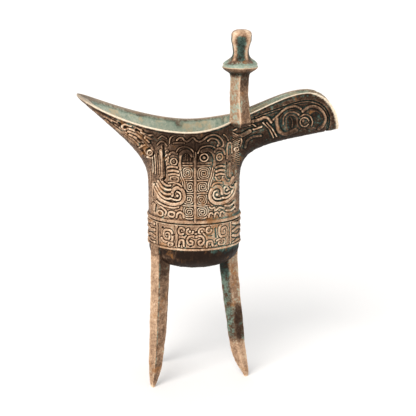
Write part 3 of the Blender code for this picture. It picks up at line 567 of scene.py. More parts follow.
def carve_band(chart, low, high):
    """The band under the bead: square spirals, curls and drilled dots between plain borders."""
    ridge, groove, boss = chart.ridge, chart.groove, chart.boss
    middle = (low + high) / 2
    chart.height += 0.7 * smooth((chart.up - low) / 0.4) * smooth((high - chart.up) / 0.4)
    panel = chart.height.copy()
    chart.height *= 0
    ridge(square_spiral((-15.9, middle + 1.0), 4.2, 4.6, 2.0, 1, 200), 0.72, 0.4, 0.8, 3)
    ridge(square_spiral((-13.4, low + 3.6), 3.1, 2.1, 1.3, -1, 20), 0.6, 0.35, 0.7)
    ridge([(-9.9, low + 1.6), (-9.9, high - 1.0)], 0.7, 0.3, 0.4, 4)
    curl = [(0.4, 3.0), (2.2, 3.5), (4.0, 2.8), (4.9, 0.8), (4.0, -1.3), (2.2, -1.6), (1.8, 0.0), (2.9, 0.5)]
    for side in (-1, 1):
        x = 1.4 + side * 3.5
        ridge(oval((x, high - 4.0), 1.8, 1.8, 60 - 60 * side, 300 - 60 * side), 0.68, 0.45, 0.8)
        boss((x, high - 3.8), 0.75, 0.5)
        ridge([(1.2 + side * a, low + 6 + b) for a, b in curl], 0.72, 0.5, 0.8)
    ridge(oval((-7.0, high - 3.8), 1.7, 1.9, 30, 300), 0.75, 0.45, 0.7)
    ridge(oval((9.0, high - 3.4), 1.5, 1.6, 90, 360), 0.7, 0.4, 0.7)
    ridge([(-8.6, low + 3), (-8, low + 6.4), (-6, low + 6.6), (-5.6, low + 3.4)], 0.7, 0.4, 0.7)
    ridge([(7.6, low + 2.6), (8.2, low + 5.6), (10.6, low + 5.8), (11.4, low + 3.2)], 0.7, 0.4, 0.7)
    for dot in ((-7.6, low + 4.2), (-5.6, high - 6.4), (9.4, low + 3.4), (13.0, low + 3.9),
                (-1.9, low + 3.2), (5.2, low + 3.0), (-12.3, high - 6.6), (-19.4, high - 3.0),
                (-16.2, middle + 1.2), (1.4, high - 4.4)):
        groove([dot, (dot[0] + 0.5, dot[1] + 0.3)], 0.72, 1.0)
    groove([(6.4, high - 4.6), (8.2, high - 6.6), (10.8, high - 6.8)], 0.5, 0.8)
    groove([(12.9, high - 2.6), (13.4, high - 8.0)], 0.7, 1.0)
    ridge(square_spiral((16.8, low + 4.6), 3.2, 2.1, 1.7, -1, 150), 0.6, 0.4, 0.7)
    ridge(square_spiral((18.4, high - 5.0), 3.2, 3.9, 1.7, 1, 120), 0.75, 0.4, 0.75, 3)
    for x in (-24.5, 24.5):
        ridge([(x - 0.9 * np.sign(x), low + 1), (x - 0.9 * np.sign(x), high - 0.6)], 0.6, 0.35, 0.6)
    for i, z in enumerate(np.linspace(low + 2.6, high - 2.0, 4)):
        for x in (-33, 33):
            sway = 0.5 * (-1) ** i
            ridge([(x - 7, z - sway), (x - 2, z + sway), (x + 3, z - sway),
                   (x + 7, z)], 0.95, 0.4, 0.7, 3)
    inside = smooth((chart.up - low - 0.4) / 0.5) * smooth((high - 0.3 - chart.up) / 0.5)
    chart.height = panel + (chart.height - 0.3) * inside
    ridge([(-45, low + 1.1), (45, low + 1.1)], 0.7, 1.0, 0.4)


def carve_tail(chart, below):
    """Leaves that run out along the tail, and the outer eye at its root."""
    ridge, groove, eye = chart.ridge, chart.groove, chart.eye
    groove(oval((-24.7, 146.7), 2.4, 2.4), 0.6, 0.7)
    eye((-24.7, 146.7), 1.4)
    ridge([(-30.8, 149.3), (-27.8, 151.4), (-24.8, 151.0), (-22.4, 148.4)], 0.75, 0.9)
    leaves = [
        [(-57, 170.0), (-50, 166.6), (-44, 163.0), (-40.6, 159.6), (-38.0, 157.6)],
        [(-35.4, 162.0), (-38.6, 163.0), (-40.6, 161.4), (-39.4, 159.7), (-37.0, 160.4)],
        [(-36.2, 160.4), (-32, 158.4), (-28.4, 155.6), (-25.2, 152.9)],
        [(-33.6, 162.2), (-30.4, 160.6), (-28.6, 158), (-27.4, 155.4)],
        [(-29.6, 158.6), (-26, 157.0), (-22.6, 157.0), (-20.4, 155.0)],
        [(-27, 156.6), (-23.4, 154.6), (-20.6, 154.2)],
        [(-43, 158.4), (-38.4, 156.4), (-34.6, 153.8), (-31.2, 150.6)],
        [(-36.4, 156.8), (-33.4, 155.2), (-30.6, 152.8), (-28.6, 152.4)],
        [(-50.6, 164.4), (-46, 161.0), (-41.4, 157.6), (-36.6, 153.4), (-32.6, 149.4), (-29.6, 145)],
        [(-37.1, 158.8), (-32.9, 157.4), (-30, 155.4), (-27.2, 152.8), (-25.0, 150.6)],
        [(-26.4, 143.6), (-24.6, 142.9), (-22.8, 143.4)],
    ]
    for leaf in leaves:
        ridge(leaf, 0.6, 0.8, 0.4)
    for pit in ((-42.6, 163.4), (-38.9, 161.0), (-22.4, 151.8), (-61.5, 172.6)):
        groove([pit, (pit[0] + 0.9, pit[1] - 0.6)], 0.8, 0.8)
    for start, end, half in (((-45.8, 163.4), (-42.4, 161.8), 1.0), ((-32.4, 159.4), (-28.6, 156.2), 0.95),
                             ((-31.4, 154.6), (-28.8, 151.4), 0.8), ((-29.6, 148.2), (-28.0, 144.8), 0.7)):
        groove([start, end], half, 1.0)
    fade = smooth((-17.5 - chart.across) / 4) * smooth((below - 1.6) / 1.0)
    chart.height *= fade


def carve_spout(chart, below):
    """Two round lobes and a ringed boss in a frame that follows the spout's lip."""
    ridge, groove, boss = chart.ridge, chart.groove, chart.boss
    frame_line = [(35.0, 165.7), (44.4, 169.0), (54.5, 172.3), (58.8, 173.8), (64.7, 174.8), (70.2, 174.2),
                  (74.5, 172.0), (77.6, 168.3), (78.9, 163.1), (78.4, 156.8)]
    for shift, half, depth in ((0.0, 0.45, 0.8), (1.3, 0.36, 0.6)):
        groove([(x - shift * (x > 66) * 0.8, z - shift) for x, z in frame_line], half, depth)
    # The lobes' dark discs, then the ridges bent over and round them
    boss((56.4, 163.0), 7.2, 0.95)
    boss((69.6, 164.4), 7.0, 1.0)
    groove([(70.4, 164.8), (71.0, 162.6)], 3.7, 1.25)
    groove([(56.5, 163.6), (56.9, 160.2)], 2.9, 1.25)
    ridge([(56.2, 165.4), (57.4, 162.6), (57.2, 159.4)], 0.45, 0.1, 0.3)
    ridge([(44.8, 162.6), (47.8, 165.8), (51.6, 169.3), (54.6, 170.9), (58.4, 171.6), (61.4, 170.4),
           (63.0, 168.9)], 0.66, 1.2, 0.3)
    ridge([(63.0, 168.9), (66.8, 171.2), (71.1, 170.9), (74.4, 168.4), (76.2, 164.6), (75.3, 160.6),
           (72.8, 158.2)], 0.90, 1.3, 0.3)
    ridge([(51.8, 161.6), (52.0, 165.6), (54.5, 168.0), (57.9, 168.3), (60.5, 166.9),
           (61.7, 164.4)], 0.66, 1.2, 0.3)
    ridge([(47.9, 164.4), (48.4, 161.2), (49.4, 157.6), (52.2, 155.6), (56.2, 156.2),
           (59.6, 157.6)], 1.25, 1.1, 0.3)
    boss((64.2, 162.4), 3.4, 1.15)
    ridge(oval((64.1, 162.6), 2.5, 2.5, 20, 330), 0.5, 1.35, 0.4)
    boss((63.4, 163.4), 1.3, 1.5)
    ridge([(61.4, 165.6), (64.2, 166.9), (67.2, 165.8), (68.8, 162.8), (68.4, 160.0)], 0.5, 0.9, 0.5)
    for line in ([(40.1, 162.3), (43.5, 159.1), (45.0, 156.4), (46.3, 153.4)],
                 [(42.3, 162.2), (45.4, 158.8), (46.9, 156.4), (48.2, 154.0)]):
        ridge(line, 0.55, 0.9, 0.6)
    for line, half, height in (
        ([(30.0, 160.9), (33.8, 163.1), (37.2, 163.8), (40.6, 165.2), (43.1, 164.7), (44.8, 162.6)],
         0.9, 1.0),
        ([(31.6, 161.2), (34.0, 161.5), (36.3, 159.9)], 0.5, 0.8),
        ([(33.6, 158.2), (36.3, 158.9), (39.3, 160.0)], 0.62, 0.95),
        ([(22.3, 155.4), (26.6, 154.7), (30.0, 156.0), (32.6, 157.5)], 1.2, 1.0),
        ([(20.0, 156.4), (22.4, 158.0), (24.8, 159.2)], 0.45, 0.9),
        ([(30.0, 147.6), (31.2, 151.7), (34.8, 154.0), (39.0, 154.4)], 0.8, 0.6),
        ([(26.4, 147.0), (27.8, 151.2), (27.4, 153.2)], 0.6, 0.6),
    ):
        ridge(line, half, height, 0.55)
    for z in np.arange(138.5, 157, 1.25):
        ridge([(21.6, z + 1.6), (26.4, z - 1.4)], 0.30, 0.6, 0.5)
    ridge(oval((24.8, 147.0), 1.2, 1.2, 40, 360), 0.4, 0.6, 0.4)
    fade = smooth((chart.across - 21.0) / 2.0) * smooth((below - 1.8) / 0.9)
    chart.height *= fade


MASK_WEIGHT = 1.3
BAND_WEIGHT = 1.15
TAIL_WEIGHT = 1.25
SPOUT_WEIGHT = 1.2
ARC_STEPS = 720
CARVED_FROM_Z = 128.0
MASK_HALF_LENGTH = 26.6
PLAIN_UNDER_RIM = 1.7
BEAD_HEIGHT = 0.95
BEAD_GROOVE_DEPTH = 0.7
LIP_HEIGHT = 0.25


def arc_length(x):
    """Millimetres round the oval wall from the middle of a side."""
    turn = np.linspace(-pi / 2, pi / 2, ARC_STEPS + 1)
    step = np.hypot(CUP_HALF_LENGTH * np.cos(turn), CUP_HALF_WIDTH * np.sin(turn)) * (turn[1] - turn[0])
    total = np.cumsum(step) - step / 2
    total -= total[ARC_STEPS // 2]
    return np.interp(np.arcsin(np.clip(x / CUP_HALF_LENGTH, -1, 1)), turn, total) * MM


def carve_side(points, plain):
    """Height of all the carving on one side, in millimetres."""
    x, z = points[:, 0] * MM, points[:, 2] * MM
    across = arc_length(points[:, 0])
    low, high = BAND_BOTTOM_Z * MM, BAND_TOP_Z * MM
    below = (rim_height(points[:, 0]) - points[:, 2]) * MM
    mask = Carving(across, z, MASK_WEIGHT)
    carve_mask(mask, plain)
    band = Carving(across, z, BAND_WEIGHT)
    carve_band(band, low, high)
    tail = Carving(x, z, TAIL_WEIGHT)
    carve_tail(tail, below)
    spout = Carving(x, z, SPOUT_WEIGHT)
    carve_spout(spout, below)
    # The mask fades out at the rim, above the bead, and where the spout and the tail begin.
    side = smooth((MASK_HALF_LENGTH - np.abs(x)) / 1.6) * smooth((z - high - 1.4) / 0.8)
    side *= smooth((below - PLAIN_UNDER_RIM) / 0.8)
    side *= 1 - smooth((x - 21.5) / 2) * smooth((z - 138) / 4)
    side *= 1 - smooth((-x - 22.0) / 2.5) * smooth((z - 141.5) / 3)
    in_band = (z < high + 0.2) & (z > low - 0.3)
    height = np.where(in_band, band.height, mask.height * side)
    upper = smooth((z - CARVED_FROM_Z) / 3)
    height = height + tail.height * upper * (1 - side * (x < 0)) + spout.height * upper * (1 - side * (x > 0))
    bead, groove = hump(z - high - 1.6, 1.0, 4), hump(z - high - 0.3, 0.45)
    height = height + BEAD_HEIGHT * bead - BEAD_GROOVE_DEPTH * groove
    lip = hump(below, 0.9, 4) - hump(below - 1.35, 0.4)
    return height + LIP_HEIGHT * lip * (z > CARVED_FROM_Z)


def steps_between(marks):
    """Values from one mark to the next, each span cut into its own count of steps."""
    values = []
    for (start, count), (end, _) in zip(marks, marks[1:]):
        values.extend(start + (end - start) * i / count for i in range(count))
    return values + [marks[-1][0]]


def pole(z, count):
    """A ring with all its points in one place on the cup's axis."""
    return np.broadcast_to(np.array([0, 0, z]), (1, count, 3))


BEAD_ROOM = 0.0032
tail_start = pi - SPOUT_ROOT_ANGLE
angles = np.array(steps_between([
    (0.0, 18), (SPOUT_END_ANGLE, 22), (SPOUT_ROOT_ANGLE, 44), (tail_start, 12), (pi, 12),
    (tau - tail_start, 60), (tau - SPOUT_ROOT_ANGLE, 22), (tau - SPOUT_END_ANGLE, 18), (tau, 1),
])[:-1])
band_share = (BAND_HEIGHT + BEAD_ROOM) / (NECK_Z - BAND_BOTTOM_Z)
outer_rows = steps_between([
    (0.03, 12), (1.0, 24), (1 + band_share, 18), (2.0, 44), (3 - TAIL_EDGE_SHARE, 3), (3.0, 1),
])
inner_rows = steps_between([(3.0, 9), (2.0, 4), (1.0, 5), (0.05, 1)])
outer_rings = cup_rings(angles, outer_rows, 0.0)
inner_rings = cup_rings(angles, inner_rows, WALL)
outer_pole, inner_pole = pole(LEG_HEIGHT, len(angles)), pole(LEG_HEIGHT + WALL, len(angles))
cup = wrapped_sheet("cup", np.concatenate([outer_pole, outer_rings, inner_rings, inner_pole]))
outer_flag = [1.0] * (len(outer_rows) + 1) + [0.0] * (len(inner_rows) + 1)
write_attribute(cup, "outer", np.repeat(outer_flag, len(angles) + 1))
to_rim = np.concatenate([
    np.linalg.norm(rings - rings[end], axis=2) * MM for rings, end in ((outer_rings, -1), (inner_rings, 0))
])
to_rim = np.concatenate([to_rim[:1], to_rim, to_rim[-1:]])
write_attribute(cup, "to_rim", np.concatenate([to_rim, to_rim[:, :1]], 1))
merge_and_face_out(cup)

REFINE_ROUNDS = 3
FRONT_SPACING = 0.00036
NEAR_SPACING = 0.00055
FAR_SPACING = 0.0009
PLAIN_SPACING = 0.01
FRONT_HALF_LENGTH = 0.0215
FRONT_TOP_Z = 0.158
CUP_TRIANGLES = 196000
CUP_GRAIN = ((0.16, 2.2), (0.14, 0.9))
EVEN_EDGE = 0.0004


def carved_spacing(points):
    """How close the cup's points have to be for its carving to show, in metres."""
    x, y, z = points.T
    front = (np.abs(x) < FRONT_HALF_LENGTH) & (z < FRONT_TOP_Z)
    wanted = np.where(y < 0, np.where(front, FRONT_SPACING, NEAR_SPACING), FAR_SPACING)
    return np.where(z > BAND_BOTTOM_Z, wanted, PLAIN_SPACING)


refine(cup, carved_spacing, REFINE_ROUNDS)
points, normals = read_points(cup)
outer = read_attribute(cup, "outer") > 0.5
near_side = points[:, 1] < 0
relief = np.where(near_side, carve_side(points, False), carve_side(points, True))
relief = np.where(outer & (points[:, 2] > BAND_BOTTOM_Z), relief, 0.0)
grain = cast_grain(points, CUP_GRAIN)
relief = relief + grain * (points[:, 2] < rim_height(points[:, 0]) - EVEN_EDGE)
raise_surface(cup, points, normals, relief)


def write_patina_and_painted_light(piece, wear_and_painted_light, dark_patina_and_painted_shade, green, bare=0.0):
    for name, values in (("wear_and_painted_light", wear_and_painted_light), ("dark_patina_and_painted_shade", dark_patina_and_painted_shade), ("green", green), ("bare", bare)):
        write_attribute(piece, name, np.broadcast_to(values, len(piece.data.vertices)))


def spot(x, z, middle, half_x, half_z):
    """From 1 at a place on the cup's side to 0 round it."""
    return np.exp(-((x - middle[0]) / half_x) ** 2 - ((z - middle[1]) / half_z) ** 2)


# What the patina has to know of each place: how worn it is against its surroundings, how dark
# (dark patina, and painted shade under the bowl), how green, and how bare and pale.
x, y, z = (points * MM).T
wear_and_painted_light = relief - blurred(cup, relief, 9)
wear_and_painted_light = np.where(wear_and_painted_light < 0, wear_and_painted_light * 2.5, wear_and_painted_light)
side_x = np.where(near_side, x, x + 6)
crest = np.exp(-(((side_x - 2) / 14) ** 2 + ((z - 150) / 9.5) ** 2) ** 1.5)
on_spout = smooth((x - 23) / 8)
on_tail = smooth((-x - 24) / 8)
under_rim = smooth((z - 148.5) / 5) * 0.62 * (1 - on_tail)
under_spout = smooth((158 - z) / 7) * on_spout * smooth((z - 128) / 8)
# Painted shade: the underside of the bowl is darkened and kept from green. A painted patch of light on its
# near left is spared part of that shade.
bowl = smooth((BAND_BOTTOM_Z * MM + 0.5 - z) / 2)
painted_light_patch = spot(x, z, (-15, 84), 7, 3) * near_side
dark_patina_and_painted_shade = np.maximum.reduce([crest, under_rim, 0.66 * on_spout + 0.45 * under_spout, 0.16 * on_tail])
dark_patina_and_painted_shade = np.maximum(np.clip(dark_patina_and_painted_shade, 0, 1), 1.15 * bowl * (1 - 0.75 * painted_light_patch))
dark_patina_and_painted_shade += 0.25 * (spot(x, z, (70.5, 164.5), 3.4, 3.4) + spot(x, z, (56.6, 162.2), 2.8, 3)) * near_side
rubbed = smooth((138 - z) / 22) * (1 - on_spout) * (1 - bowl)
mouth = smooth((x - 66) / 4)
lip = smooth((0.45 + 0.9 * mouth - read_attribute(cup, "to_rim")) / 0.5 + 0.5)
green = 0.05 + 0.30 * smooth((x - 5) / 8) * smooth(-wear_and_painted_light / 0.3) + 0.05 * (x > 8) - 0.3 * bowl
bare = lip * np.where(near_side, 1.0, 0.35) * (1 - 0.5 * smooth((-x - 56) / 8))
write_patina_and_painted_light(cup, 0.455 + wear_and_painted_light * 0.92 + 0.085 * rubbed, np.where(outer, dark_patina_and_painted_shade * (1 - lip), 0.0),
             np.where(outer, green, 0.9) * (1 - lip), bare)
thin_out(cup, CUP_TRIANGLES)


# Old bronze under a patina is barely metal to the eye: copper salts and soil fill the hollows, and
# the ridges are rubbed to a sandy brown. Cast in clay and buried, it is rough and finely pitted.
SKIN = ((0.02, "#21140b"), (0.22, "#382619"), (0.40, "#5f4939"), (0.56, "#97785f"), (0.72, "#c8a688"),
        (0.87, "#e2c9ad"), (1.0, "#f0dfc6"))
VERDIGRIS = ((0.12, "#1c2a27"), (0.38, "#4b645a"), (0.62, "#8aa091"), (0.85, "#b4bfae"), (1.0, "#cdd1c0"))
METALLIC = 0.22
ROUGHNESS = 0.56
OCHRE_MOST = 0.55


def linear(hex_colour):
    """An sRGB hex colour as linear light."""
    channels = [int(hex_colour[i:i + 2], 16) / 255 for i in (1, 3, 5)]
    return tuple(c / 12.92 if c <= 0.04045 else ((c + 0.055) / 1.055) ** 2.4 for c in channels) + (1.0,)


def add(tree, kind, inputs=None, stops=None, **settings):
    """A node with its settings, its colour stops, and its inputs set or linked by name or number."""
    node = tree.nodes.new("ShaderNode" + kind)
    for name, value in settings.items():
        setattr(node, name, value)
    for name, value in (inputs or {}).items():
        if isinstance(value, bpy.types.NodeSocket):
            tree.links.new(value, node.inputs[name])
        else:
            node.inputs[name].default_value = value
    for i, (place, colour) in enumerate(stops or ()):
        stop = node.color_ramp.elements[i] if i < 2 else node.color_ramp.elements.new(place)
        stop.position = place
        stop.color = linear(colour)
    return node


def old_bronze():
    """Cast bronze with a buried patina, and painted shade and light, steered by the piece's own attributes.
    """
    material = bpy.data.materials.new("cast bronze, buried patina")
    material.use_nodes = True
    tree = material.node_tree
    tree.nodes.clear()
    place = add(tree, "TexCoord").outputs["Object"]

    wear_and_painted_light, dark_patina_and_painted_shade, green, bare = (add(tree, "Attribute", attribute_name=key).outputs["Fac"]
                               for key in ("wear_and_painted_light", "dark_patina_and_painted_shade", "green", "bare"))
    stain, blotch, fleck, speck, rust = (
        add(tree, "TexNoise",
            {"Vector": place, "Scale": MM / size, "Detail": detail, "Roughness": 0.6}).outputs["Fac"]
        for size, detail in ((13, 3), (4.2, 4), (1.3, 3), (0.45, 2), (7.5, 3)))
    inside = add(tree, "MapRange", {"Value": green, "From Min": 0.62, "From Max": 0.86}).outputs[0]
    # How light the skin is, how far the green has grown, how light the green is, how deep the pits
    # are and where rust shows: each a sum of shares.
    # The painted shade and painted light carried in the attributes darken and lighten the skin and the green
    # here.
    sums = []
    for total, shares in (
        (-0.79, ((wear_and_painted_light, 1.0), (stain, 0.35), (blotch, 0.42), (fleck, 0.52), (speck, 0.30), (dark_patina_and_painted_shade, -0.36))),
        (-0.08, ((green, 0.52), (blotch, 0.55), (stain, 0.25), (fleck, 0.50), (wear_and_painted_light, -0.16))),
        (-0.20, ((fleck, 0.55), (blotch, 0.40), (speck, 0.20), (wear_and_painted_light, 0.40), (dark_patina_and_painted_shade, -0.42), (inside, 0.30))),
        (0.0, ((fleck, 0.7), (speck, 0.5))),
        (rust, ((dark_patina_and_painted_shade, -0.11),)),
    ):
        for part, share in shares:
            total = add(tree, "Math", {0: part, 1: share, 2: total}, operation="MULTIPLY_ADD").outputs[0]
        sums.append(total)
    tone, growth, shade, pits, rust_here = sums
    # Each step lays one colour over what is there: value, its low and high, the most it covers, and
    # what the cover is kept to. Soil lies inside the cup alone.
    skin = add(tree, "ValToRGB", {0: tone}, SKIN).outputs[0]
    mould = add(tree, "ValToRGB", {0: shade}, VERDIGRIS).outputs[0]
    for value, low, high, most, kept_to, colour in (
        (rust_here, 0.54, 0.66, OCHRE_MOST, 1.0, linear("#9c6a3a")),
        (growth, 0.60, 0.76, 0.88, 1.0, mould),
        (rust, 0.49, 0.62, 0.7, inside, linear("#cdb795")),
    ):
        cover = add(tree, "MapRange", {"Value": value, "From Min": low, "From Max": high, "To Max": most},
                    interpolation_type="SMOOTHSTEP").outputs[0]
        cover = add(tree, "Math", {0: cover, 1: kept_to}, operation="MULTIPLY").outputs[0]
        skin = add(tree, "Mix", {0: cover, 6: skin, 7: colour}, data_type="RGBA").outputs[2]
    worn_lip = add(tree, "MapRange",
                   {"Value": fleck, "From Min": 0.25, "From Max": 0.55, "To Min": 0.6}).outputs[0]
    worn_lip = add(tree, "Math", {0: bare, 1: worn_lip}, operation="MULTIPLY").outputs[0]
    skin = add(tree, "Mix", {0: worn_lip, 6: skin, 7: linear("#f0dfc6")}, data_type="RGBA").outputs[2]
    gloss = add(tree, "MapRange", {"Value": blotch, "From Min": 0.3, "From Max": 0.7,
                                   "To Min": ROUGHNESS - 0.12, "To Max": ROUGHNESS + 0.14}).outputs[0]
    bump = add(tree, "Bump", {"Height": pits, "Strength": 0.5, "Distance": 0.0003}).outputs[0]
    # Soil and corrosion reflect little: their small pores hold no sheen.
    shader = add(tree, "BsdfPrincipled", {"Base Color": skin, "Metallic": METALLIC, "Roughness": gloss,
                                          "Specular IOR Level": 0.15, "Normal": bump})
    add(tree, "OutputMaterial", {"Surface": shader.outputs[0]}).is_active_output = True
    return material


def finish_piece(piece, material):
    """Smooth shading, its material, and its place on the frame."""
    piece.data.materials.clear()
    piece.data.materials.append(material)
    select_only(piece)
    bpy.ops.object.shade_smooth_by_angle(angle=radians(60))
    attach(piece, "root")
    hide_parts("vessel")


bronze = old_bronze()
finish_piece(cup, bronze)

# The legs
# Three solid blades, cast on the bowl and ground to blunt edges, wide where they leave the bowl and
# curved to small worn feet. Each stands with one edge outwards.
LEG_IN_BAND = 0.0023
LEG_INSET = 0.0006
LEG_HALF_DEPTH = 0.0045
LEG_FLUSH_ALONG = 0.92
LEG_FLUSH_ACROSS = 0.82
LEG_TOP_PULL = 0.94
LEG_EDGE = 0.14
EDGE_STEPS = 3
FACE_STEPS = 13
EDGE_BULGE = 0.035
LEG_DENTS = ((0.30, 7.0), (0.14, 2.2), (0.07, 0.9))
FOOT_HALF = 0.0013
# Share of the height, share of the full size, and share of the splay there
LEG_SHAPE = np.array([
    (0.0, 0.20, 1.00), (0.024, 0.33, 0.98), (0.067, 0.50, 0.88), (0.135, 0.68, 0.74), (0.23, 0.81, 0.58),
    (0.35, 0.87, 0.46), (0.55, 0.91, 0.32), (0.76, 0.95, 0.16), (0.94, 1.00, 0.04), (1.0, 1.00, 0.00),
])


def softened(values, rounds):
    """A run of rows with its corners eased, both ends held."""
    for _ in range(rounds):
        values = np.concatenate([values[:1], (values[:-2] + 2 * values[1:-1] + values[2:]) / 4, values[-1:]])
    return values


def rhombus_ring(half_x, half_y):
    """A rhombic section with blunted edges, as points round it."""
    corners = []
    for i in range(4):
        c, s = round(cos(pi / 2 * i)), round(sin(pi / 2 * i))
        for side in (-LEG_EDGE, LEG_EDGE):
            corners.append((half_x * (c * (1 - LEG_EDGE) - s * side),
                            half_y * (s * (1 - LEG_EDGE) + c * side)))
    points = []
    for i, (start, end) in enumerate(zip(corners, corners[1:] + corners[:1])):
        on_edge = i % 2 == 0
        steps = EDGE_STEPS if on_edge else FACE_STEPS
        for k in range(steps):
            share = k / steps
            bulge = 1 + (EDGE_BULGE * sin(pi * share) if on_edge else 0.0)
            points.append([bulge * (start[j] + (end[j] - start[j]) * share) for j in (0, 1)])
    return np.array(points)


def lofted(name, rings):
    """A closed piece through its rings, with both ends closed at their middles."""
    ends = [np.tile(rings[k].mean(0), (len(rings[k]), 1)) for k in (0, -1)]
    piece = wrapped_sheet(name, np.stack([ends[0], *rings, ends[1]]))
    merge_and_face_out(piece)
    return piece


def wall_middle():
    """The cup's form at half its wall, closed over the top, which trims what is cast onto it."""
    angle = np.linspace(0, tau, 120, endpoint=False)
    rows = np.concatenate([np.linspace(0.1, 1, 12), np.linspace(1.1, 2.94, 20), [3.0]])
    low, high = pole(LEG_HEIGHT + WALL / 2, len(angle)), pole(SPOUT_TOP_Z + WALL, len(angle))
    solid = wrapped_sheet("wall middle", np.concatenate([low, cup_rings(angle, rows, WALL / 2), high]))
    merge_and_face_out(solid)
    return solid


def trim(piece, cutter):
    cut = piece.modifiers.new("trim", "BOOLEAN")
    cut.operation = "DIFFERENCE"
    cut.object = cutter
    apply_modifiers(piece)


def sharpness(piece, normals, rounds):
    """How far each point is on an edge: 0 where the surface round it is flat."""
    smoothed = np.stack([blurred(piece, normals[:, i], rounds) for i in range(3)], -1)
    return np.clip(1 - np.linalg.norm(smoothed, axis=1), 0, 1)


def leg(name, angle, half_width, splay):
    """One leg, lofted from its foot up into the bowl, with the shallow dents of a casting."""
    out_x = 1 if cos(angle) > 0 else -1
    out_y = 0 if splay[1] == 0 else (1 if sin(angle) > 0 else -1)
    flush = LEG_FLUSH_ALONG * abs(cos(angle)) - LEG_FLUSH_ACROSS * abs(sin(angle))
    top_x = (CUP_HALF_LENGTH - LEG_INSET) * cos(angle) - out_x * half_width * flush
    top_y = (CUP_HALF_WIDTH - LEG_INSET) * sin(angle) * LEG_TOP_PULL
    top_share = 1 + (BOWL_DEPTH + LEG_IN_BAND) / LEG_HEIGHT
    shares = np.concatenate([np.linspace(0, 0.14, 16), np.linspace(0.155, top_share, 88)])
    half = softened(np.interp(shares, LEG_SHAPE[:, 0], LEG_SHAPE[:, 1]), 2)
    drift = softened(np.interp(shares, LEG_SHAPE[:, 0], LEG_SHAPE[:, 2]), 3)
    rings = []
    for share, size, move in zip(shares, half, drift):
        flat = rhombus_ring(max(half_width * size, FOOT_HALF), max(LEG_HALF_DEPTH * size, FOOT_HALF))
        rings.append(np.column_stack([flat[:, 0] + top_x + out_x * splay[0] * move,
                                      flat[:, 1] + top_y + out_y * splay[1] * move,
                                      np.full(len(flat), LEG_HEIGHT * share)]))
    piece = lofted(name, rings)
    points, normals = read_points(piece)
    dents = cast_grain(points, LEG_DENTS)
    dents *= smooth(points[:, 2] / 0.004) * smooth((BAND_BOTTOM_Z - points[:, 2]) / 0.003)
    raise_surface(piece, points, normals, dents)
    return piece


trimmer = wall_middle()
for name, angle, half_width, splay in (
    ("leg_right", 0.0, 0.0063, (0.0114, 0.0)),
    ("leg_left_near", -radians(147), 0.0060, (0.0049, 0.0050)),
    ("leg_left_far", radians(147), 0.0060, (0.0049, 0.0088)),
):
    piece = leg(name, angle, half_width, splay)
    trim(piece, trimmer)
    points, normals = read_points(piece)
    z = points[:, 2] * MM
    inward = smooth(normals[:, 0] * (-1 if angle == 0 else 1) * 1.5 + 0.5)
    # Painted shadow of the bowl over the upper legs, darkest on their inner faces.
    painted_bowl_shadow = smooth((z - 62) / 12)
    edge = sharpness(piece, normals, 6) * (1 - smooth((z - 82) / 4))
    if angle == 0:
        wear_and_painted_light = 0.56 + 0.9 * edge + 0.06 * smooth((26 - z) / 6)
        green = inward * smooth((z - 22) / 8) * 0.20 + 0.10 * smooth((z - 18) / 10) + 0.12
        grey = 0.85 * (1 - inward) * (1 - smooth((z - 42) / 10))
        dark_patina_and_painted_shade = (0.42 * inward + grey) * smooth((z - 22) / 6) + 0.75 * inward * painted_bowl_shadow
    else:
        ridge = hump(normals[:, 0] - 0.1, 0.22)
        # Painted shade: each left leg's top, just under the bowl, is made darker.
        wear_and_painted_light = 0.66 + 0.9 * edge - 0.13 * inward - 0.16 * smooth((z - 80) / 6)
        green = 0.04 + 0.42 * ridge * smooth((z - 8) / 10)
        green += 0.30 * hump(z - 10, 7) * (1 - inward)
        dark_patina_and_painted_shade = inward * (0.06 + 0.62 * painted_bowl_shadow) + 0.45 * ridge
    write_patina_and_painted_light(piece, wear_and_painted_light, dark_patina_and_painted_shade, green)
    finish_piece(piece, bronze)

# The posts
# Two square posts stand on the rim where the spout begins, cast in with it. Each has a spreading
# round collar and a waisted square knob with ribs on its corners, thick with green.
POST_LEAN = radians(2.0)
POST_BELOW_RIM = 0.0012
POST_HEIGHT = 0.0537
POST_FOOT_SHIFT = 0.0014
POST_FOOT_SHARE = 0.32
POST_HALF = 0.0053
POST_PAST_ROOT = 0.0044
FAR_POST_DROP = 0.0022
FAR_POST_SHIFT = 0.0010
COLLAR_HALF = 0.0105
KNOB_HALF = 0.0058
KNOB_WAIST = 0.0045
POST_COLUMNS = 64
POST_RIB = 0.085
POST_GRAIN = ((0.16, 3.5), (0.10, 1.2))
POST_WEIGHT = 1.2
KNOB_FROM = 0.70
# Share of the height, half width and squareness of the section
POST_SHAPE = np.array([
    (-0.026, POST_HALF * 0.80, 1.15), (-0.010, POST_HALF * 1.06, 1.15), (0.015, POST_HALF * 1.18, 1.15),
    (0.070, POST_HALF * 1.13, 1.15), (0.150, POST_HALF * 1.04, 1.15), (0.260, POST_HALF * 0.98, 1.15),
    (0.500, POST_HALF, 1.15), (0.545, POST_HALF * 1.08, 1.3), (0.580, COLLAR_HALF * 0.86, 1.7),
    (0.612, COLLAR_HALF, 1.8), (0.645, COLLAR_HALF * 0.84, 1.8), (0.678, KNOB_WAIST * 1.36, 1.8),
    (0.705, KNOB_WAIST * 1.12, 1.8), (0.762, KNOB_WAIST, 1.8), (0.830, KNOB_WAIST * 1.08, 2.2),
    (0.885, KNOB_HALF, 2.4), (0.960, KNOB_HALF * 0.99, 2.4), (0.990, KNOB_HALF * 0.78, 2.4),
    (1.000, KNOB_HALF * 0.45, 2.4),
])
root_x = (CUP_HALF_LENGTH - WALL / 2) * cos(SPOUT_ROOT_ANGLE)
root_y = (CUP_HALF_WIDTH + RIM_FLARE - WALL / 2) * sin(SPOUT_ROOT_ANGLE)
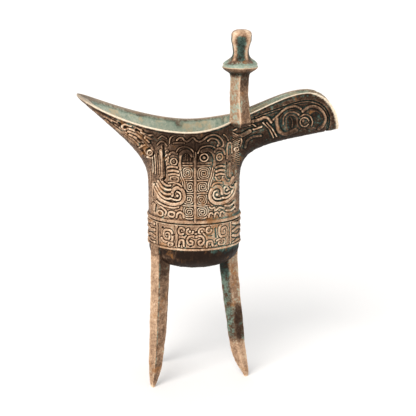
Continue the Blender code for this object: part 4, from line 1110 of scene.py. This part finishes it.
base_z = float(rim_height(np.array([root_x]))[0]) - POST_BELOW_RIM
shares = np.concatenate([
    np.linspace(-0.026, 0.5, 46), np.linspace(0.507, 0.7, 34), np.linspace(0.709, 1.0, 42),
])
half = softened(np.interp(shares, POST_SHAPE[:, 0], POST_SHAPE[:, 1]), 3)
square = softened(np.interp(shares, POST_SHAPE[:, 0], POST_SHAPE[:, 2]), 3)
turn = np.linspace(0, tau, POST_COLUMNS, endpoint=False) - pi / 2
for name, side, drop, shift in (("post_near", -1, 0.0, 0.0), ("post_far", 1, FAR_POST_DROP, FAR_POST_SHIFT)):
    tall = POST_HEIGHT - drop
    rings = []
    for share, size, power in zip(shares, half, square):
        reach = size * (np.abs(np.cos(turn)) ** power + np.abs(np.sin(turn)) ** power) ** (-1 / power)
        rib = np.abs(np.sin(2 * turn)) ** 10 * smooth((share - KNOB_FROM) / 0.08) * (share < 0.985)
        reach = reach * (1 + POST_RIB * rib)
        sweep = POST_FOOT_SHIFT * float(smooth(1 - share / POST_FOOT_SHARE))
        x = root_x + POST_PAST_ROOT + shift + sweep + tall * share * sin(POST_LEAN)
        rings.append(np.column_stack([x + reach * np.cos(turn), side * root_y + reach * np.sin(turn),
                                      np.full(POST_COLUMNS, base_z + tall * share)]))
    piece = lofted(name, rings)
    points, normals = read_points(piece)
    middle_x = root_x + POST_PAST_ROOT + (points[:, 2] - base_z) * tan(POST_LEAN)
    around = np.arctan2(points[:, 0] - middle_x, side * (points[:, 1] - side * root_y)) * KNOB_WAIST * MM
    up = (points[:, 2] - base_z) / tall * 100
    chart = Carving(around, up / 100 * tall * MM, POST_WEIGHT)
    knob_z = KNOB_FROM * tall * MM
    for hand in (-1, 1):
        chart.ridge([(hand * 0.5, knob_z - 1.6), (hand * 1.9, knob_z - 0.9), (hand * 2.3, knob_z + 0.4),
                     (hand * 1.2, knob_z + 0.9), (hand * 0.9, knob_z + 0.1)], 0.32, 0.35, 0.2)
    relief = chart.height + cast_grain(points, POST_GRAIN)
    points = raise_surface(piece, points, normals, relief)
    edge = sharpness(piece, normals, 5)
    on_shaft = smooth((54 - up) / 3)
    on_knob = smooth((up - 67) / 3)
    # Faces turned right, away from the light, carry painted shade; faces turned left carry painted light.
    right = smooth(normals[:, 0] * 1.6 + 0.5)
    top = smooth((up - 91) / 5)
    angle = np.arctan2(points[:, 1] - side * root_y, points[:, 0] - middle_x)
    corner = np.abs(np.sin(2 * angle)) ** 4
    collar = hump(up - 61, 4.5, 4)
    over, under = smooth(normals[:, 2] * 2), smooth(-normals[:, 2] * 2.5)
    wear_and_painted_light = 0.50 + 0.6 * edge + 0.06 * top + 0.30 * collar * (1 - over) + 0.22 * corner * on_knob
    # Painted light: the shaft's left faces are made lighter than its right faces.
    wear_and_painted_light += on_shaft * (0.18 * (1 - right) + 0.04 * right + 0.22 * hump(normals[:, 0], 0.2))
    # Painted shade on faces turned down, below the knob; the knob's faces between its ribs carry dark patina.
    dark_patina_and_painted_shade = 0.9 * under * (1 - on_knob) + on_knob * (1 - corner) * (1 - top) * 0.85
    # Painted shade on the right faces of the upper shaft.
    dark_patina_and_painted_shade = np.maximum(dark_patina_and_painted_shade, 0.55 * right * on_shaft * smooth((up - 34) / 12))
    green = 0.30 + 0.42 * collar * over - 0.26 * collar * (1 - over) - 0.24 * top
    green += on_knob * (0.22 * (1 - corner) - 0.22 * corner) * (1 - top)
    green += on_shaft * (0.12 * (1 - right) - 0.24 * right * hump(up - 40, 9))
    green -= 0.28 * smooth((14 - up) / 8) * right * on_shaft
    write_patina_and_painted_light(piece, wear_and_painted_light, np.clip(dark_patina_and_painted_shade, 0, 1), green)
    finish_piece(piece, bronze)

# The handle
# A flat strap on the far side, cast with the cup, big enough for one finger. Two lines run down it.
HANDLE_X = -0.0040
HANDLE_ABOVE_NECK = 0.0140
HANDLE_HEIGHT = 0.0440
HANDLE_HALF_WIDTH = 0.0046
HANDLE_THICKNESS = 0.0036
HANDLE_SQUARENESS = 0.62
HANDLE_ROWS = 90
LINE_DEPTH = 0.45
LINE_HALF = 0.35
HANDLE_GRAIN = ((0.14, 3.0), (0.08, 1.0))
turn = pi / 2 - pi * np.linspace(0, 1, HANDLE_ROWS)
middle_z = NECK_Z + HANDLE_ABOVE_NECK - HANDLE_HEIGHT / 2
out = np.clip(np.cos(turn), 0, 1) ** HANDLE_SQUARENESS
up = squarer(np.sin(turn), HANDLE_SQUARENESS)
path_y = CUP_HALF_WIDTH - WALL + (HANDLE_REACH + WALL - HANDLE_THICKNESS / 2) * out
path_z = middle_z + (HANDLE_HEIGHT - HANDLE_THICKNESS) / 2 * up
run_y, run_z = softened(np.gradient(path_y), 2), softened(np.gradient(path_z), 2)
length = np.hypot(run_y, run_z)
around = np.linspace(0, tau, 48, endpoint=False)
across = HANDLE_HALF_WIDTH * squarer(np.cos(around), 0.45)
thick = HANDLE_THICKNESS / 2 * squarer(np.sin(around), 0.6)
rings = []
for y, z, ny, nz in zip(path_y, path_z, -run_z / length, run_y / length):
    rings.append(np.column_stack([HANDLE_X + across, y + thick * ny, z + thick * nz]))
handle = lofted("handle", rings)


def on_lines(points):
    """From 1 on the strap's two lines to 0 beside them."""
    away = np.abs(np.abs(points[:, 0] - HANDLE_X) - HANDLE_HALF_WIDTH * 0.5) * MM
    return hump(away, LINE_HALF)


points, normals = read_points(handle)
relief = cast_grain(points, HANDLE_GRAIN) - LINE_DEPTH * on_lines(points)
raise_surface(handle, points, normals, relief)
trim(handle, trimmer)
points, normals = read_points(handle)
write_patina_and_painted_light(handle, 0.52 + 0.8 * sharpness(handle, normals, 4) - 0.3 * on_lines(points), 0.15, 0.22)
finish_piece(handle, bronze)
bpy.data.objects.remove(trimmer, do_unlink=True)

# The floor and the light
# A wide pale sheet, one large soft light from the upper left, and a pale room all round.
bpy.ops.object.select_all(action="DESELECT")
bpy.ops.mesh.primitive_plane_add(size=40, location=(0, 0, 0))
floor = bpy.context.object
floor.name = "floor"
paper = bpy.data.materials.new("white paper")
paper.use_nodes = True
paper_shader = paper.node_tree.nodes["Principled BSDF"]
paper_shader.inputs["Base Color"].default_value = linear("#f4f4f4")
paper_shader.inputs["Roughness"].default_value = 0.9
floor.data.materials.append(paper)

bpy.ops.object.light_add(type="SUN", rotation=(radians(42), radians(-26), 0))
key = bpy.context.object
key.data.energy = 2.3
key.data.angle = radians(38)
key.data.color = linear("#fffaf4")[:3]
world = bpy.data.worlds.new("pale room")
bpy.context.scene.world = world
world.use_nodes = True
world.node_tree.nodes["Background"].inputs["Color"].default_value = linear("#f8f8f8")
world.node_tree.nodes["Background"].inputs["Strength"].default_value = 0.82
bpy.context.scene.view_settings.view_transform = "Standard"

# The camera
# It looks along +Y and a little down, from about 0.6 m.
VIEW_TARGET = Vector(AXIS) + Vector((0.0084, 0.0, 0.1087))
VIEW_DISTANCE = 0.6138
VIEW_PITCH = radians(14.6)
VIEW_HALF_WIDTH = 208 / 1023
bpy.ops.object.camera_add(
    location=VIEW_TARGET + VIEW_DISTANCE * Vector((0, -cos(VIEW_PITCH), sin(VIEW_PITCH))),
    rotation=(pi / 2 - VIEW_PITCH, 0, 0),
)
camera = bpy.context.object
camera.data.sensor_width = 36
camera.data.lens = camera.data.sensor_width / 2 / VIEW_HALF_WIDTH
bpy.context.scene.camera = camera
